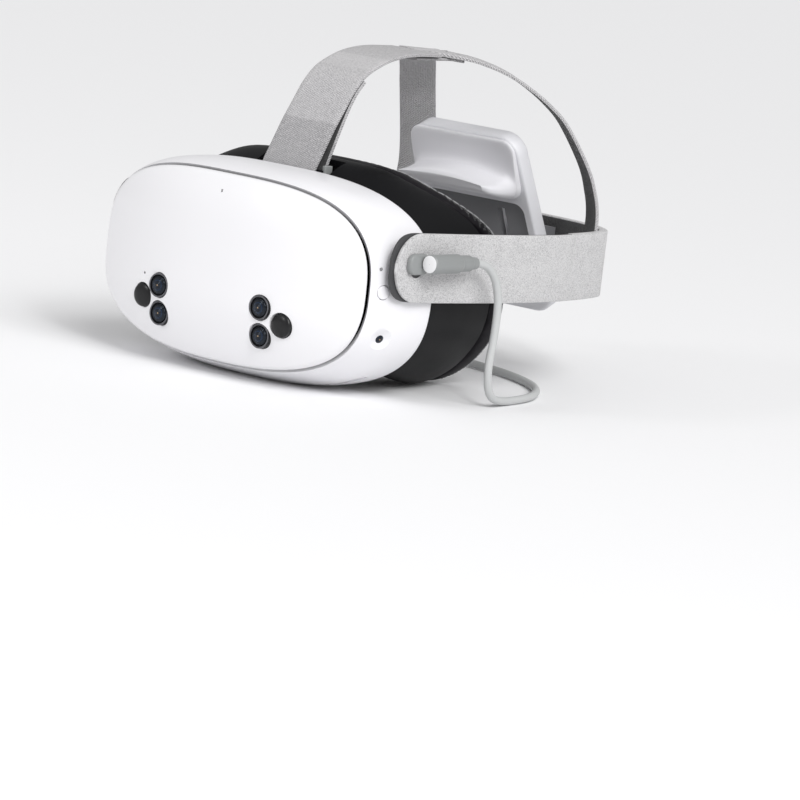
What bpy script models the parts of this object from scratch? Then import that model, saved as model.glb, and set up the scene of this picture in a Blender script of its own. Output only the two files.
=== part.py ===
"""VR headset with side arms, straps, rear head cradle and a charging lead.

Driving dimensions are in millimetres and the model is built in metres with +Z up.
The front faces -Y, the wearer's left side is +X, and the headset rests on z = 0.
"""

import math

import bmesh
import bpy
import numpy as np
from mathutils import Vector

MM = 0.001
STEPS = 48  # points round the body's outline
GAP = 0.3  # clearance between pieces that touch

# Body outline, seen from the front. The sketch's own zero is the front centre, 3 mm under the base.
BASE = 3.0
MID_Z = 56.0
PLATE_HALF, PLATE_TOP, PLATE_LOW = 84.0, 103.0, 10.0
SHELL_HALF, SHELL_TOP, SHELL_LOW = 91.5, 107.6, 1.5
WALL = 2.4
REAR_Y = 57.0
MID_Y = 124.8  # half way along the assembled headset

# Lenses and cameras
EYE_X, EYE_Z = 32.0, 58.0
BARREL_R = 25.0
CAMERA_R, EMITTER_R, EYE_GLASS_R = 6.1, 6.0, 21.5
CAMERA_X, CAMERA_Z_UPPER, CAMERA_Z_LOWER = 33.0, 42.4, 28.4
EMITTER_X, EMITTER_Z = 45.2, 35.6
SENSOR_Z = 94.3

# Arms, straps and cradle
PIVOT_Y, PIVOT_Z = 37.0, 72.0
HUB_R = 8.6
ARM_OUT = 95.4  # outer face of the arm beside the pivot
ARM_WIDE = 34.0
SLEEVE_THICK, CORE_THICK = 1.8, 1.5
STRAP_THICK, STRAP_HALF = 1.8, 17.0
BAND_THICK = 4.6
CRADLE_TILT = 24.5

FINISHES = {
    "white_shell": ((0.86, 0.86, 0.89), 0.34, 0.0),
    "white_plate": ((0.90, 0.90, 0.93), 0.22, 0.0),
    "satin_black": ((0.012, 0.012, 0.013), 0.42, 0.0),
    "soft_black": ((0.018, 0.018, 0.020), 0.85, 0.0),
    "camera_black": ((0.010, 0.010, 0.012), 0.30, 0.0),
    "glass": ((0.015, 0.018, 0.030), 0.04, 0.0),
    "lens_clear": ((0.10, 0.11, 0.13), 0.03, 0.0),
    "charcoal": ((0.045, 0.045, 0.048), 0.60, 0.0),
    "knit_grey": ((0.62, 0.61, 0.62), 0.90, 0.0),
    "knit_light": ((0.68, 0.67, 0.69), 0.88, 0.0),
    "cradle_white": ((0.80, 0.80, 0.82), 0.40, 0.0),
    "cradle_grey": ((0.16, 0.16, 0.17), 0.50, 0.0),
    "plug_grey": ((0.30, 0.31, 0.31), 0.45, 0.0),
    "cord_grey": ((0.52, 0.53, 0.53), 0.55, 0.0),
    "metal": ((0.62, 0.62, 0.63), 0.30, 1.0),
    "board_green": ((0.02, 0.09, 0.05), 0.50, 0.0),
    "battery_foil": ((0.10, 0.10, 0.11), 0.40, 0.2),
    "display_black": ((0.01, 0.01, 0.015), 0.12, 0.0),
    "led_white": ((0.85, 0.85, 0.80), 0.30, 0.0),
    "rubber": ((0.03, 0.03, 0.03), 0.80, 0.0),
}


def at(x, y, z):
    """A point of the sketch, in world metres."""
    return Vector((x, y - MID_Y, z - BASE)) * MM


def material(name):
    if name in bpy.data.materials:
        return bpy.data.materials[name]
    colour, roughness, metallic = FINISHES[name]
    made = bpy.data.materials.new(name)
    made.use_nodes = True
    shader = made.node_tree.nodes["Principled BSDF"]
    shader.inputs["Base Color"].default_value = (*colour, 1.0)
    shader.inputs["Roughness"].default_value = roughness
    shader.inputs["Metallic"].default_value = metallic
    return made


def add(name, finish, shape, pivot=None):
    """Turns a bmesh in world metres into a named object whose origin is at pivot."""
    bmesh.ops.recalc_face_normals(shape, faces=shape.faces)
    origin = at(*pivot) if pivot else Vector()
    bmesh.ops.translate(shape, verts=shape.verts, vec=-origin)
    mesh = bpy.data.meshes.new(name)
    shape.to_mesh(mesh)
    shape.free()
    mesh.materials.append(material(finish))
    mesh.shade_smooth()
    mesh.set_sharp_from_angle(angle=math.radians(35))
    piece = bpy.data.objects.new(name, mesh)
    piece.location = origin
    bpy.context.scene.collection.objects.link(piece)
    return piece


def skin(shape, rings, hollow):
    """Joins equal rings of points into one skin: end to end when hollow, otherwise capped."""
    rows = [[shape.verts.new(at(*point)) for point in ring] for ring in rings]
    following = rows[1:] + (rows[:1] if hollow else [])
    for first, second in zip(rows, following):
        for i in range(len(first)):
            shape.faces.new((first[i - 1], first[i], second[i], second[i - 1]))
    if not hollow:
        shape.faces.new(rows[0][::-1])
        shape.faces.new(rows[-1])


def loft(name, finish, rings, hollow=False, pivot=None):
    shape = bmesh.new()
    skin(shape, rings, hollow)
    return add(name, finish, shape, pivot)


def turned_rings(profile, centre, axis, steps):
    """Rings round an axis, one for each (radius, distance along the axis)."""
    along = Vector(axis).normalized()
    side = along.orthogonal().normalized()
    up = along.cross(side)
    rings = []
    for radius, height in profile:
        middle = Vector(centre) + along * height
        turns = [2 * math.pi * i / steps for i in range(steps)]
        rings.append([middle + (side * math.cos(t) + up * math.sin(t)) * radius for t in turns])
    return rings


def turned(name, finish, profile, centre, axis, hollow=False, steps=20, pivot=None):
    return loft(name, finish, turned_rings(profile, centre, axis, steps), hollow, pivot)


def block(name, finish, low, high, rounding=0.8, pivot=None):
    """A box between two corners with its edges rounded."""
    shape = bmesh.new()
    bmesh.ops.create_cube(shape, size=1.0)
    size = [(b - a) * MM for a, b in zip(low, high)]
    middle = at(*[(a + b) / 2 for a, b in zip(low, high)])
    bmesh.ops.scale(shape, verts=shape.verts, vec=size)
    bmesh.ops.translate(shape, verts=shape.verts, vec=middle)
    if rounding:
        edges = list(shape.edges)
        bmesh.ops.bevel(shape, geom=edges, offset=rounding * MM, segments=2, profile=0.5, affect="EDGES")
    return add(name, finish, shape, pivot)


def cutter(name, *skins):
    """One hidden mesh of separate closed skins, for a Boolean."""
    shape = bmesh.new()
    for rings in skins:
        skin(shape, rings, False)
    tool = add(name, "rubber", shape)
    tool.hide_render = True
    tool.display_type = "WIRE"
    return tool


def box_rings(low, high):
    (x0, y0, z0), (x1, y1, z1) = low, high
    return [[(x0, y, z0), (x1, y, z0), (x1, y, z1), (x0, y, z1)] for y in (y0, y1)]


def cut(piece, tool, operation="DIFFERENCE"):
    step = piece.modifiers.new(tool.name, "BOOLEAN")
    step.operation = operation
    step.object = tool


def smooth(points, per):
    """Catmull-Rom curve through points, with per samples to each stretch."""
    points = np.array(points, float)
    ends = np.vstack([2 * points[0] - points[1], points, 2 * points[-1] - points[-2]])
    found = []
    for a, b, c, d in zip(ends, ends[1:], ends[2:], ends[3:]):
        for t in np.arange(per) / per:
            cubic = 2 * b + (c - a) * t + (2 * a - 5 * b + 4 * c - d) * t**2
            found.append((cubic + (3 * b - 3 * c + d - a) * t**3) / 2)
    return [Vector(point) for point in [*found, points[-1]]]


def strip(name, finish, centres, half_widths, across, thick, offset=0.0, pivot=None):
    """A flat band along centres, moved sideways by offset, with a rectangular rounded section."""
    rings = []
    for i, (centre, half) in enumerate(zip(centres, half_widths)):
        ahead = centres[min(i + 1, len(centres) - 1)] - centres[max(i - 1, 0)]
        width = Vector(across[i] if isinstance(across, list) else across).normalized()
        normal = ahead.cross(width).normalized()
        width = normal.cross(ahead).normalized()
        edge = min(0.5, half / 2)
        corners = [(half, -1), (half, 1), (-half, 1), (-half, -1)]
        ring = []
        for reach, side in corners:
            inner = reach - math.copysign(edge, reach)
            pair = [(reach, side * 0.5), (inner, side)]
            ring += pair[::-1] if side * reach < 0 else pair
        rings.append([centre + width * w + normal * (offset + n * thick / 2) for w, n in ring])
    return loft(name, finish, rings, pivot=pivot)


# ---------------------------------------------------------------- body surfaces


def outline(half, top, low):
    """Rounded outline in (x, z), clockwise from the top centre, cut flat at the base."""
    points = []
    for step in range(STEPS):
        turn = 2 * math.pi * step / STEPS
        side, up = math.sin(turn), math.cos(turn)
        power, reach = (2 / 3.0, top - MID_Z) if up >= 0 else (2 / 2.65, MID_Z - low)
        x = math.copysign(abs(side) ** power * half, side)
        z = MID_Z + math.copysign(abs(up) ** power * reach, up)
        points.append((x, max(z, BASE)))
    return points


def plate_y(x, z):
    """Depth of the front plate's face, which falls back at its sides, top and bottom."""
    swept = 16.0 * abs(x / PLATE_HALF) ** 2.3
    low = 0.0095 * max(0.0, 45.0 - z) ** 2
    high = 0.0075 * max(0.0, z - 75.0) ** 2
    return -4.6 + swept + low + high


def rear_y(z):
    """Depth of the shell's rear edge."""
    return REAR_Y - 0.006 * max(0.0, z - 60.0) ** 2 - 0.0012 * max(0.0, 40.0 - z) ** 2


def shell_ring(half, top, low, share):
    """A ring of the shell, share of the way from the seam to the rear edge."""
    ring = []
    for x, z in outline(half, top, low):
        front = plate_y(x, z) + 4.3
        ring.append((x, front + (rear_y(z) - front) * share, z))
    return ring


def plate_ring(scale, depth):
    ring = []
    for x, z in outline(PLATE_HALF * scale, MID_Z + 47.0 * scale, MID_Z - 46.0 * scale):
        ring.append((x, plate_y(x, z) + depth, z))
    return ring


# ---------------------------------------------------------------- front


def make_front_plate():
    face = [(0.05, 0.0), (0.3, 0.0), (0.55, 0.0), (0.75, 0.0), (0.9, 0.05), (0.965, 0.45), (0.992, 1.2)]
    back = [(1.0, 2.5), (0.985, 3.0), (0.955, 2.5), (0.8, 2.2), (0.55, 2.2), (0.3, 2.2), (0.05, 2.2)]
    plate = loft("front_plate", "white_plate", [plate_ring(*step) for step in face + back])
    holes = []
    for side in (-1, 1):
        for x, z, radius in camera_places(side):
            holes.append(turned_rings([(radius + GAP, -12), (radius + GAP, 14)], (x, 0, z), (0, 1, 0), 20))
    holes.append(turned_rings([(1.3, -12), (1.3, 14)], (0, 0, SENSOR_Z), (0, 1, 0), 16))
    holes.append(turned_rings([(0.7, -12), (0.7, 14)], (-45.0, 0, 46.6), (0, 1, 0), 12))
    cut(plate, cutter("front_plate_holes", *holes))


def camera_places(side):
    """(x, z, radius) of the two cameras and the emitter on one side."""
    return (
        (side * CAMERA_X, CAMERA_Z_UPPER, CAMERA_R),
        (side * CAMERA_X, CAMERA_Z_LOWER, CAMERA_R),
        (side * EMITTER_X, EMITTER_Z, EMITTER_R),
    )


def make_cameras():
    barrel = [(2.0, 9.0), (6.1, 9.0), (6.1, -0.2), (5.7, -0.6), (4.9, -0.6), (4.9, 1.4), (2.0, 1.4)]
    dome = [(4.6, 1.1), (4.6, 0.2), (4.2, -0.35), (3.2, -0.95), (1.8, -1.35), (0.5, -1.5)]
    emitter = [(EMITTER_R, 7.0), (EMITTER_R, 0.3), (5.6, -0.5), (4.4, -1.2), (2.6, -1.7), (0.6, -1.9)]
    for side, letter in ((1, "l"), (-1, "r")):
        upper, lower, outer = camera_places(side)
        for place, level in ((upper, "upper"), (lower, "lower")):
            x, z, _ = place
            centre = (x, plate_y(x, z), z)
            turned(f"camera_barrel_{level}_{letter}", "camera_black", barrel, centre, (0, 1, 0), True)
            turned(f"camera_glass_{level}_{letter}", "glass", dome, centre, (0, 1, 0))
        x, z, _ = outer
        turned(f"ir_emitter_{letter}", "camera_black", emitter, (x, plate_y(x, z), z), (0, 1, 0))
    window = (0, plate_y(0, SENSOR_Z), SENSOR_Z)
    turned("light_sensor", "camera_black", [(1.0, 5.0), (1.0, 0.2)], window, (0, 1, 0), steps=16)


def make_gasket():
    """Dark seal at the bottom of the seam, between the plate and the shell."""
    rings = []
    for inset, depth in ((2.6, 3.3), (0.0, 3.3), (0.0, 3.9), (2.6, 3.9)):
        edge = outline(83.4 - inset, 102.4 - inset, 10.6 + inset)
        rings.append([(x, plate_y(x, z) + depth, z) for x, z in edge])
    loft("seam_gasket", "rubber", rings, True)


# ---------------------------------------------------------------- shell

SIDE_CAMERA = ((86.3, 27.5, 34.4), (0.90, -0.28, -0.33))
POWER = ((88.2, 22.7, 58.5), (0.95, -0.31, 0.0))
LED = ((87.2, 20.3, 69.8), (0.95, -0.31, 0.05))
UNDER = ((58.0, 40.0, 9.6), (0.36, 0.0, -0.93))
ROCKER_LONG, ROCKER_WIDE, ROCKER_DEEP = 22.0, 6.0, 3.4
BUTTON_R = 3.4


def mirrored(place, side):
    (x, y, z), (a, b, c) = place
    return (x * side, y, z), (a * side, b, c)


def rocker_box(half_long, half_wide, inside, outside):
    """Four-sided rings of a box under the wearer's left, square to the shell's slope."""
    centre, normal = (Vector(part) for part in UNDER)
    normal.normalize()
    along = normal.cross(Vector((0, 1, 0))).normalized()
    corners = [(-1, -1), (1, -1), (1, 1), (-1, 1)]
    section = [along * half_long * a + Vector((0, half_wide * w, 0)) for a, w in corners]
    return [[centre + normal * depth + corner for corner in section] for depth in (inside, outside)]


def make_shell():
    outer = [
        (84.9, 103.9, 9.1, 0.0),
        (88.2, 106.0, 5.8, 0.14),
        (90.3, 107.2, 2.8, 0.36),
        (91.3, SHELL_TOP, SHELL_LOW, 0.62),
        (SHELL_HALF, SHELL_TOP, SHELL_LOW, 0.88),
        (91.2, 107.3, 1.8, 0.98),
        (90.4, 106.5, 2.4, 1.0),
    ]
    inner = [
        (88.9, 105.2, 5.4, 1.0),
        (88.9, 105.2, 5.4, 0.62),
        (87.6, 104.6, 5.9, 0.36),
        (85.2, 103.0, 8.0, 0.16),
        (82.8, 101.4, 11.6, 0.06),
    ]
    shell = loft("main_shell", "white_shell", [shell_ring(*step) for step in outer + inner], True)
    tools = []
    for side in (-1, 1):
        spot, normal = mirrored(SIDE_CAMERA, side)
        tools.append(turned_rings([(3.0, -8), (3.0, -2.0), (7.0, 0.6), (7.0, 4)], spot, normal, 28))
        tools.append(turned_rings([(6.3, -8), (6.3, 8)], (side * 90, PIVOT_Y, PIVOT_Z), (1, 0, 0), 24))
    tools.append(turned_rings([(BUTTON_R + 0.3, -8), (BUTTON_R + 0.3, 4)], *POWER, 24))
    tools.append(turned_rings([(0.9, -8), (0.9, 4)], *LED, 12))
    tools.append(turned_rings([(BUTTON_R + 0.3, -6), (BUTTON_R + 0.3, 4)], *mirrored(UNDER, -1), 24))
    tools.append(rocker_box(ROCKER_LONG / 2 + 0.4, ROCKER_WIDE / 2 + 0.4, -6, 4))
    cut(shell, cutter("main_shell_holes", *tools))


def make_side_details():
    eye = [(2.7, -7.5), (2.7, -2.6), (2.2, -2.1), (1.2, -1.8), (0.3, -1.7)]
    for side, letter in ((1, "l"), (-1, "r")):
        turned(f"side_camera_{letter}", "glass", eye, *mirrored(SIDE_CAMERA, side), steps=20)
    press = [(BUTTON_R, -4.6), (BUTTON_R, -0.1), (3.0, 0.25)]
    turned("power_button", "white_shell", press, *POWER, pivot=POWER[0])
    spot, normal = mirrored(UNDER, -1)
    turned("action_button", "white_shell", press, spot, normal, pivot=spot)
    turned("status_led", "led_white", [(0.6, -4.0), (0.6, -0.1)], *LED, steps=12)
    rings = rocker_box(ROCKER_LONG / 2, ROCKER_WIDE / 2, -ROCKER_DEEP, 0.1)
    rings += rocker_box(ROCKER_LONG / 2 - 0.6, ROCKER_WIDE / 2 - 0.6, 0.35, 0.35)[:1]
    loft("volume_rocker", "white_shell", rings, pivot=UNDER[0])


# ---------------------------------------------------------------- inside

BEZEL_BACK = 10.0
BEZEL_THICK = 2.5


def make_bezel():
    """Dark inner wall behind the optics, with a slot for each lens carriage to slide in."""
    rings = []
    scales = (0.05, 0.6, 1.0)
    for scale, depth in [(s, 0) for s in scales] + [(s, BEZEL_THICK) for s in reversed(scales)]:
        shape = outline(84.5 * scale, MID_Z + 45.0 * scale, MID_Z - 46.0 * scale)
        rings.append([(x, rear_y(z) - BEZEL_BACK + depth, z) for x, z in shape])
    bezel = loft("inner_bezel", "satin_black", rings)
    slots = [slot_rings(side * EYE_X, BARREL_R + 0.5, 2.9) for side in (-1, 1)]
    cut(bezel, cutter("inner_bezel_slots", *slots))


def slot_rings(centre_x, radius, travel):
    """A round-ended slot along X, through the bezel."""
    ring = []
    for i in range(40):
        turn = 2 * math.pi * i / 40
        shift = travel if math.cos(turn) > 0 else -travel
        ring.append((centre_x + shift + radius * math.cos(turn), EYE_Z + radius * math.sin(turn)))
    return [[(x, y, z) for x, z in ring] for y in (20, 75)]


def make_optics():
    outer = [(21.0, 22.5), (BARREL_R, 22.5), (BARREL_R, 63.0), (23.8, 64.5)]
    tube = outer + [(21.9, 64.5), (21.9, 58.0), (21.0, 57.0)]
    glass = [(21.6, 58.3), (21.6, 60.2), (18.0, 61.8), (12.0, 63.0), (6.0, 63.6), (1.0, 63.8)]
    for side, letter in ((1, "l"), (-1, "r")):
        centre = (side * EYE_X, 0, EYE_Z)
        turned(f"lens_carriage_{letter}", "satin_black", tube, centre, (0, 1, 0), True, 36, centre)
        turned(f"eye_lens_{letter}", "lens_clear", glass, centre, (0, 1, 0), steps=36)
    block("display_panel", "display_black", (-66, 17.5, 27), (66, 20.5, 89), 0.4)


def make_electronics():
    block("mainboard", "board_green", (-60, 10.2, 26), (60, 11.8, 88), 0)
    sink = block("heat_sink", "metal", (-55, 12.2, 52), (55, 16.8, 92), 0.5)
    well = turned_rings([(17.5, 5), (17.5, 25)], (0, 0, 72), (0, 1, 0), 40)
    cut(sink, cutter("heat_sink_well", well))
    make_fan()
    block("battery_cell", "battery_foil", (-42, 24, 11.6), (42, 40, 30), 1.5)
    behind_bezel = (0, rear_y(88) - BEZEL_BACK + BEZEL_THICK + 2 * GAP, 88)
    turned("proximity_sensor", "camera_black", [(2.2, 0), (2.2, 5.0)], behind_bezel, (0, 1, 0))


def make_fan():
    """Blower rotor in the heat sink's well: a hub with seven blades."""
    centre = (0, 0, 72)
    rotor = turned("fan_rotor", "charcoal", [(6, 12.4), (6, 16.4)], centre, (0, 1, 0), pivot=(0, 14.4, 72))
    blades = []
    for i in range(7):
        turn = 2 * math.pi * i / 7
        outward = Vector((math.cos(turn), 0, math.sin(turn)))
        side = Vector((-outward.z, 0, outward.x)) * 0.6
        ends = [Vector(centre) + outward * 5 - side, Vector(centre) + outward * 5 + side]
        ends += [Vector(centre) + outward * 16.2 + side * 2.5, Vector(centre) + outward * 16.2 + side * 0.5]
        blades.append([[point + Vector((0, y, 0)) for point in ends] for y in (12.8, 15.8)])
    cut(rotor, cutter("fan_blades", *blades), "UNION")


# ---------------------------------------------------------------- facial interface

# Outer edge of the rim from the forehead round the temple and cheek to the nose, wearer's left half.
RIM = [
    (0, 81, 112.6),
    (22, 82, 112.6),
    (42, 84.5, 111.0),
    (56, 90.5, 106.0),
    (67.5, 101.5, 99.0),
    (76, 116, 89.0),
    (79, 127, 76.0),
    (79, 133, 58.0),
    (75.5, 136.5, 40.0),
    (67.5, 139.5, 26.0),
    (57, 137, 12.3),
    (44, 130, 3.7),
    (30, 119, 6.5),
    (19, 108, 18.0),
    (9, 100, 31.0),
    (0, 97, 37.0),
]
RIM_DEEP = 15.0
FRAME_WALL = 2.6
# (inward from the rim, back from it) round the cushion's section
CUSHION_SECTION = (
    (0.0, -13.9),
    (-0.4, -9.0),
    (0.0, -3.0),
    (1.5, -0.8),
    (5.0, 0.0),
    (9.5, -1.2),
    (12.5, -5.0),
    (13.0, -10.0),
    (12.0, -13.9),
)


def rim_points():
    """The rim's edge as STEPS points, clockwise from the top centre."""
    half = smooth(RIM, 10)
    picked = [half[round(i * (len(half) - 1) / (STEPS / 2))] for i in range(STEPS // 2 + 1)]
    other = [Vector((-p.x, p.y, p.z)) for p in picked[-2:0:-1]]
    return picked + other


def inward(points, amount):
    """Moves a ring's points towards the ring's inside, square to its own outline in (x, z)."""
    moved = []
    for i, point in enumerate(points):
        ahead = points[(i + 1) % len(points)] - points[i - 1]
        moved.append(point + Vector((ahead.z, 0, -ahead.x)).normalized() * amount)
    return moved


def frame_section(share, depth, rim, back=0.8):
    """Ring between the shell's rear edge (share 0) and the rim (share 1), moved inward by depth."""
    start = [Vector((x, rear_y(z) + back, z)) for x, z in outline(88.2, 104.4, 6.3)]
    stretch = math.sin(share * math.pi / 2)
    ring = []
    for a, b in zip(start, rim):
        across = a.lerp(b, share)
        ring.append(Vector((across.x, a.y + (b.y - RIM_DEEP - a.y) * share, a.z + (b.z - a.z) * stretch)))
    return inward(ring, depth)


def make_face():
    rim = rim_points()
    shares = (0.0, 0.12, 0.3, 0.5, 0.72, 1.0)
    outer = [frame_section(share, 0.0, rim) for share in shares]
    inner = [frame_section(share, FRAME_WALL, rim) for share in reversed(shares)]
    tucked = -3.0
    outer.insert(0, frame_section(0.0, 0.0, rim, tucked))
    inner.append(frame_section(0.0, FRAME_WALL, rim, tucked))
    frame = loft("face_frame", "satin_black", outer + inner, True)
    cut(frame, cutter("face_frame_notch", box_rings((-24, 34, 96), (24, 61.5, 125))))
    pad = []
    for depth, back in CUSHION_SECTION:
        pad.append([point + Vector((0, back, 0)) for point in inward(rim, depth)])
    loft("face_cushion", "soft_black", pad, True)


# ---------------------------------------------------------------- arms and band

# The arm's and band's outer face, seen from above, from the front end to the back centre.
ARM_PATH = [(95.2, 22.0), (ARM_OUT, 45), (94.8, 85), (92.6, 125), (88.3, 158), (84.0, 176)]
BAND_PATH = [(84.0, 176), (77.5, 200), (67.5, 225), (50, 242), (26, 249.5), (0, 251.5)]


def strap_z(y):
    """Centre height of the arm and band, which fall slightly towards the back."""
    return 71.2 - 0.028 * (y - 40)


def make_arms():
    for side, letter in ((1, "l"), (-1, "r")):
        path = smooth([(side * x, y, strap_z(y)) for x, y in ARM_PATH], 6)
        centres, halves = rounded_front(path)
        pivot = (side * ARM_OUT, PIVOT_Y, PIVOT_Z)
        upright = (0, 0, 1)
        into = -side * SLEEVE_THICK / 2
        name = f"arm_sleeve_{letter}"
        sleeve = strip(name, "knit_grey", centres, halves, upright, SLEEVE_THICK, into, pivot)
        into = -side * (SLEEVE_THICK + GAP + CORE_THICK / 2)
        narrower = [half - 0.6 for half in halves]
        core = strip(f"arm_core_{letter}", "charcoal", centres, narrower, upright, CORE_THICK, into, pivot)
        hole = [(HUB_R + 0.4, -12), (HUB_R + 0.4, 12)]
        tool = cutter(f"arm_hole_{letter}", turned_rings(hole, (side * 95, PIVOT_Y, PIVOT_Z), (1, 0, 0), 32))
        cut(sleeve, tool)
        cut(core, tool)
        hub = [(5.9, 86.6), (5.9, 91.6), (HUB_R, 91.8), (HUB_R, ARM_OUT - 0.6), (HUB_R - 0.6, ARM_OUT - 0.3)]
        turned(f"arm_hub_{letter}", "charcoal", hub, (0, PIVOT_Y, PIVOT_Z), (side, 0, 0), steps=32)
        low, high = sorted((side * 84.4, side * 88.4))
        block(f"speaker_{letter}", "charcoal", (low, 96, 62), (high, 122, 77), 1.0)
    port = box_rings((92.4, 32.5, 70.7), (99.0, 41.5, 74.3))
    cut(bpy.data.objects["arm_hub_l"], cutter("charge_port", port))
    make_rear_band()


def make_rear_band():
    band = smooth([(x, y, strap_z(y)) for x, y in BAND_PATH], 6)
    band[0] = band[0] + (band[1] - band[0]).normalized() * GAP
    whole = band + [Vector((-p.x, p.y, p.z)) for p in band[-2::-1]]
    halves = [ARM_WIDE / 2] * len(whole)
    strip("rear_band", "knit_light", whole, halves, (0, 0, 1), BAND_THICK, -BAND_THICK / 2)


def rounded_front(path):
    """Stations of an arm whose front end is a half disc, and their half widths."""
    radius = ARM_WIDE / 2
    lengths = np.cumsum([0] + [(b - a).length for a, b in zip(path, path[1:])])
    early = [radius * (1 - math.cos(math.radians(angle))) for angle in range(18, 91, 9)]
    wanted = early + [length for length in lengths if length > radius + 3]
    axes = [np.interp(wanted, lengths, [point[i] for point in path]) for i in range(3)]
    centres = [Vector(point) for point in zip(*axes)]
    halves = [math.sqrt(max(radius**2 - max(radius - s, 0) ** 2, 0.0)) for s in wanted]
    return centres, halves


# ---------------------------------------------------------------- top strap

# The strap's centre line, from the anchor to the crown. Its end folds back under the anchor's bar.
TOP_PATH = [
    (0, 46.2, 104.9),
    (0, 47.0, 108.0),
    (0, 51.3, 115.8),
    (0, 57.8, 127.6),
    (0, 64.2, 137.6),
    (0, 69.6, 145.8),
    (0, 76.4, 153.0),
    (0, 84.2, 157.6),
    (0, 96.8, 162.3),
    (0, 113, 164.9),
    (0, 135.6, 165.3),
]
TAIL_PATH = [
    (0, 46.3, 102.6),
    (0, 47.6, 100.8),
    (0, 49.9, 100.2),
    (0, 52.1, 101.0),
    (0, 53.7, 103.4),
    (0, 57.9, 114.2),
    (0, 62.8, 125.8),
    (0, 67.6, 136.4),
    (0, 72.6, 145.0),
    (0, 78.0, 151.0),
]
BAR_Y, BAR_Z, BAR_R = 50.0, 104.6, 2.6
PATCH_PATH = [(0, 118, 165.3), (0, 135, 165.3), (0, 147, 165.3), (0, 157, 164.4)]
# One side's branch over the back of the head, from the crown to the inside of the rear band.
BRANCH_PATH = [
    (2.2, 146.6, 165.5),
    (7.0, 147.4, 165.5),
    (13.2, 152.4, 165.0),
    (20.5, 162.2, 163.2),
    (29.1, 173.5, 158.9),
    (36.4, 183.7, 152.6),
    (43.1, 193.2, 144.8),
    (48.8, 202.1, 134.9),
    (55.4, 214.0, 115.0),
    (58.2, 219.0, 101.0),
    (60.0, 220.2, 90.0),
    (60.4, 219.8, 77.0),
]
BRANCH_HALF = 9.5
BRANCH_ACROSS = (0.62, -0.78)


def make_top_strap():
    path = smooth(TOP_PATH, 3)
    strip("top_strap", "knit_grey", path, [STRAP_HALF] * len(path), (1, 0, 0), STRAP_THICK)
    tail = smooth(TAIL_PATH, 3)
    strip("top_strap_tail", "knit_grey", tail, [STRAP_HALF - 0.4] * len(tail), (1, 0, 0), STRAP_THICK)
    patch = smooth(PATCH_PATH, 4)
    under = (STRAP_THICK + 1.4) / 2 + 2 * GAP
    strip("crown_patch", "knit_grey", patch, [15.0] * len(patch), (1, 0, 0), 1.4, under)
    for side, letter in ((1, "l"), (-1, "r")):
        path = smooth([(side * x, y, z) for x, y, z in BRANCH_PATH], 3)
        across = (side * BRANCH_ACROSS[0], BRANCH_ACROSS[1], 0)
        strip(f"top_branch_{letter}", "knit_grey", path, [BRANCH_HALF] * len(path), across, STRAP_THICK)


def make_anchor():
    """Bracket under the shell's rear top edge, with a bar that the strap folds round."""
    anchor = block("strap_anchor", "plug_grey", (-20.5, 41.9, 96.6), (20.5, 56.5, 98.8), 0.4)
    cut(anchor, cutter("anchor_riser", box_rings((-20.2, 42.1, 97.5), (20.2, 43.9, 104.4))), "UNION")
    cheeks = [box_rings((low, 45.6, 97.5), (low + 2.2, 56.0, 110.4)) for low in (-20.2, 18.0)]
    cut(anchor, cutter("anchor_cheeks", *cheeks), "UNION")
    bar = turned_rings([(BAR_R, -19), (BAR_R, 19)], (0, BAR_Y, BAR_Z), (1, 0, 0), 20)
    cut(anchor, cutter("anchor_bar", bar), "UNION")


# ---------------------------------------------------------------- rear cradle

CRADLE_FOOT = Vector((0, 224.0, 35.5))
CRADLE_HIGH = 99.5


def on_cradle(x, up, out):
    """A point of the tilted cradle: up along its face and out towards the headset."""
    tilt = math.radians(CRADLE_TILT)
    rise = Vector((0, -math.sin(tilt), math.cos(tilt)))
    face = Vector((0, -math.cos(tilt), -math.sin(tilt)))
    return CRADLE_FOOT + Vector((x, 0, 0)) + rise * up + face * out


def cradle_outline(up_low, up_high, half_low, half_high, corner, out):
    """Ring of a tapering panel with round corners, on the cradle's face."""
    ring = []
    for sx, sz in ((1, 1), (1, -1), (-1, -1), (-1, 1)):
        for i in range(6):
            turn = math.radians(90 * i / 5)
            a, b = (math.sin(turn), math.cos(turn)) if sx * sz > 0 else (math.cos(turn), math.sin(turn))
            half = half_high if sz > 0 else half_low
            up = up_high if sz > 0 else up_low
            x = sx * (half - corner + corner * a)
            ring.append(on_cradle(x, up + sz * (corner * b - corner), out))
    return ring


def make_cradle():
    sizes = ((-7.0, 1.2), (-5.6, 0.0), (0.8, 0.0), (2.0, 1.0))
    rings = [cradle_outline(s, CRADLE_HIGH - s, 41 - s, 35 - s, 11, out) for out, s in sizes]
    shell = loft("cradle_shell", "cradle_white", rings)
    recess = [cradle_outline(10, 62, 35.5, 32.8, 6, out) for out in (-3.0, 12.0)]
    cut(shell, cutter("cradle_recess", recess))
    corners = ((9, 20), (12.5, 20), (12.5, 56), (9, 56))
    slot = [[on_cradle(x, up, out) for x, up in corners] for out in (-12, 12)]
    panel_rings = [cradle_outline(10.4, 61.6, 35.1, 32.4, 5.6, out) for out in (-2.7, 0.2)]
    panel = loft("cradle_panel", "cradle_grey", panel_rings)
    tool = cutter("cradle_slot", slot)
    cut(panel, tool)
    cut(shell, tool)
    make_scoop()
    half = 19
    front = [on_cradle(x, up, -7.4) for x, up in ((-half, 22), (half, 22), (half, 45), (-half, 45))]
    rear = [Vector((x, 245.0, z)) for x, z in ((-half, 55), (half, 55), (half, 77), (-half, 77))]
    loft("cradle_mount", "cradle_grey", [front, rear])
    block("band_clip", "cradle_grey", (-19, 252.2, 55), (19, 254.2, 77), 0.8)


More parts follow.
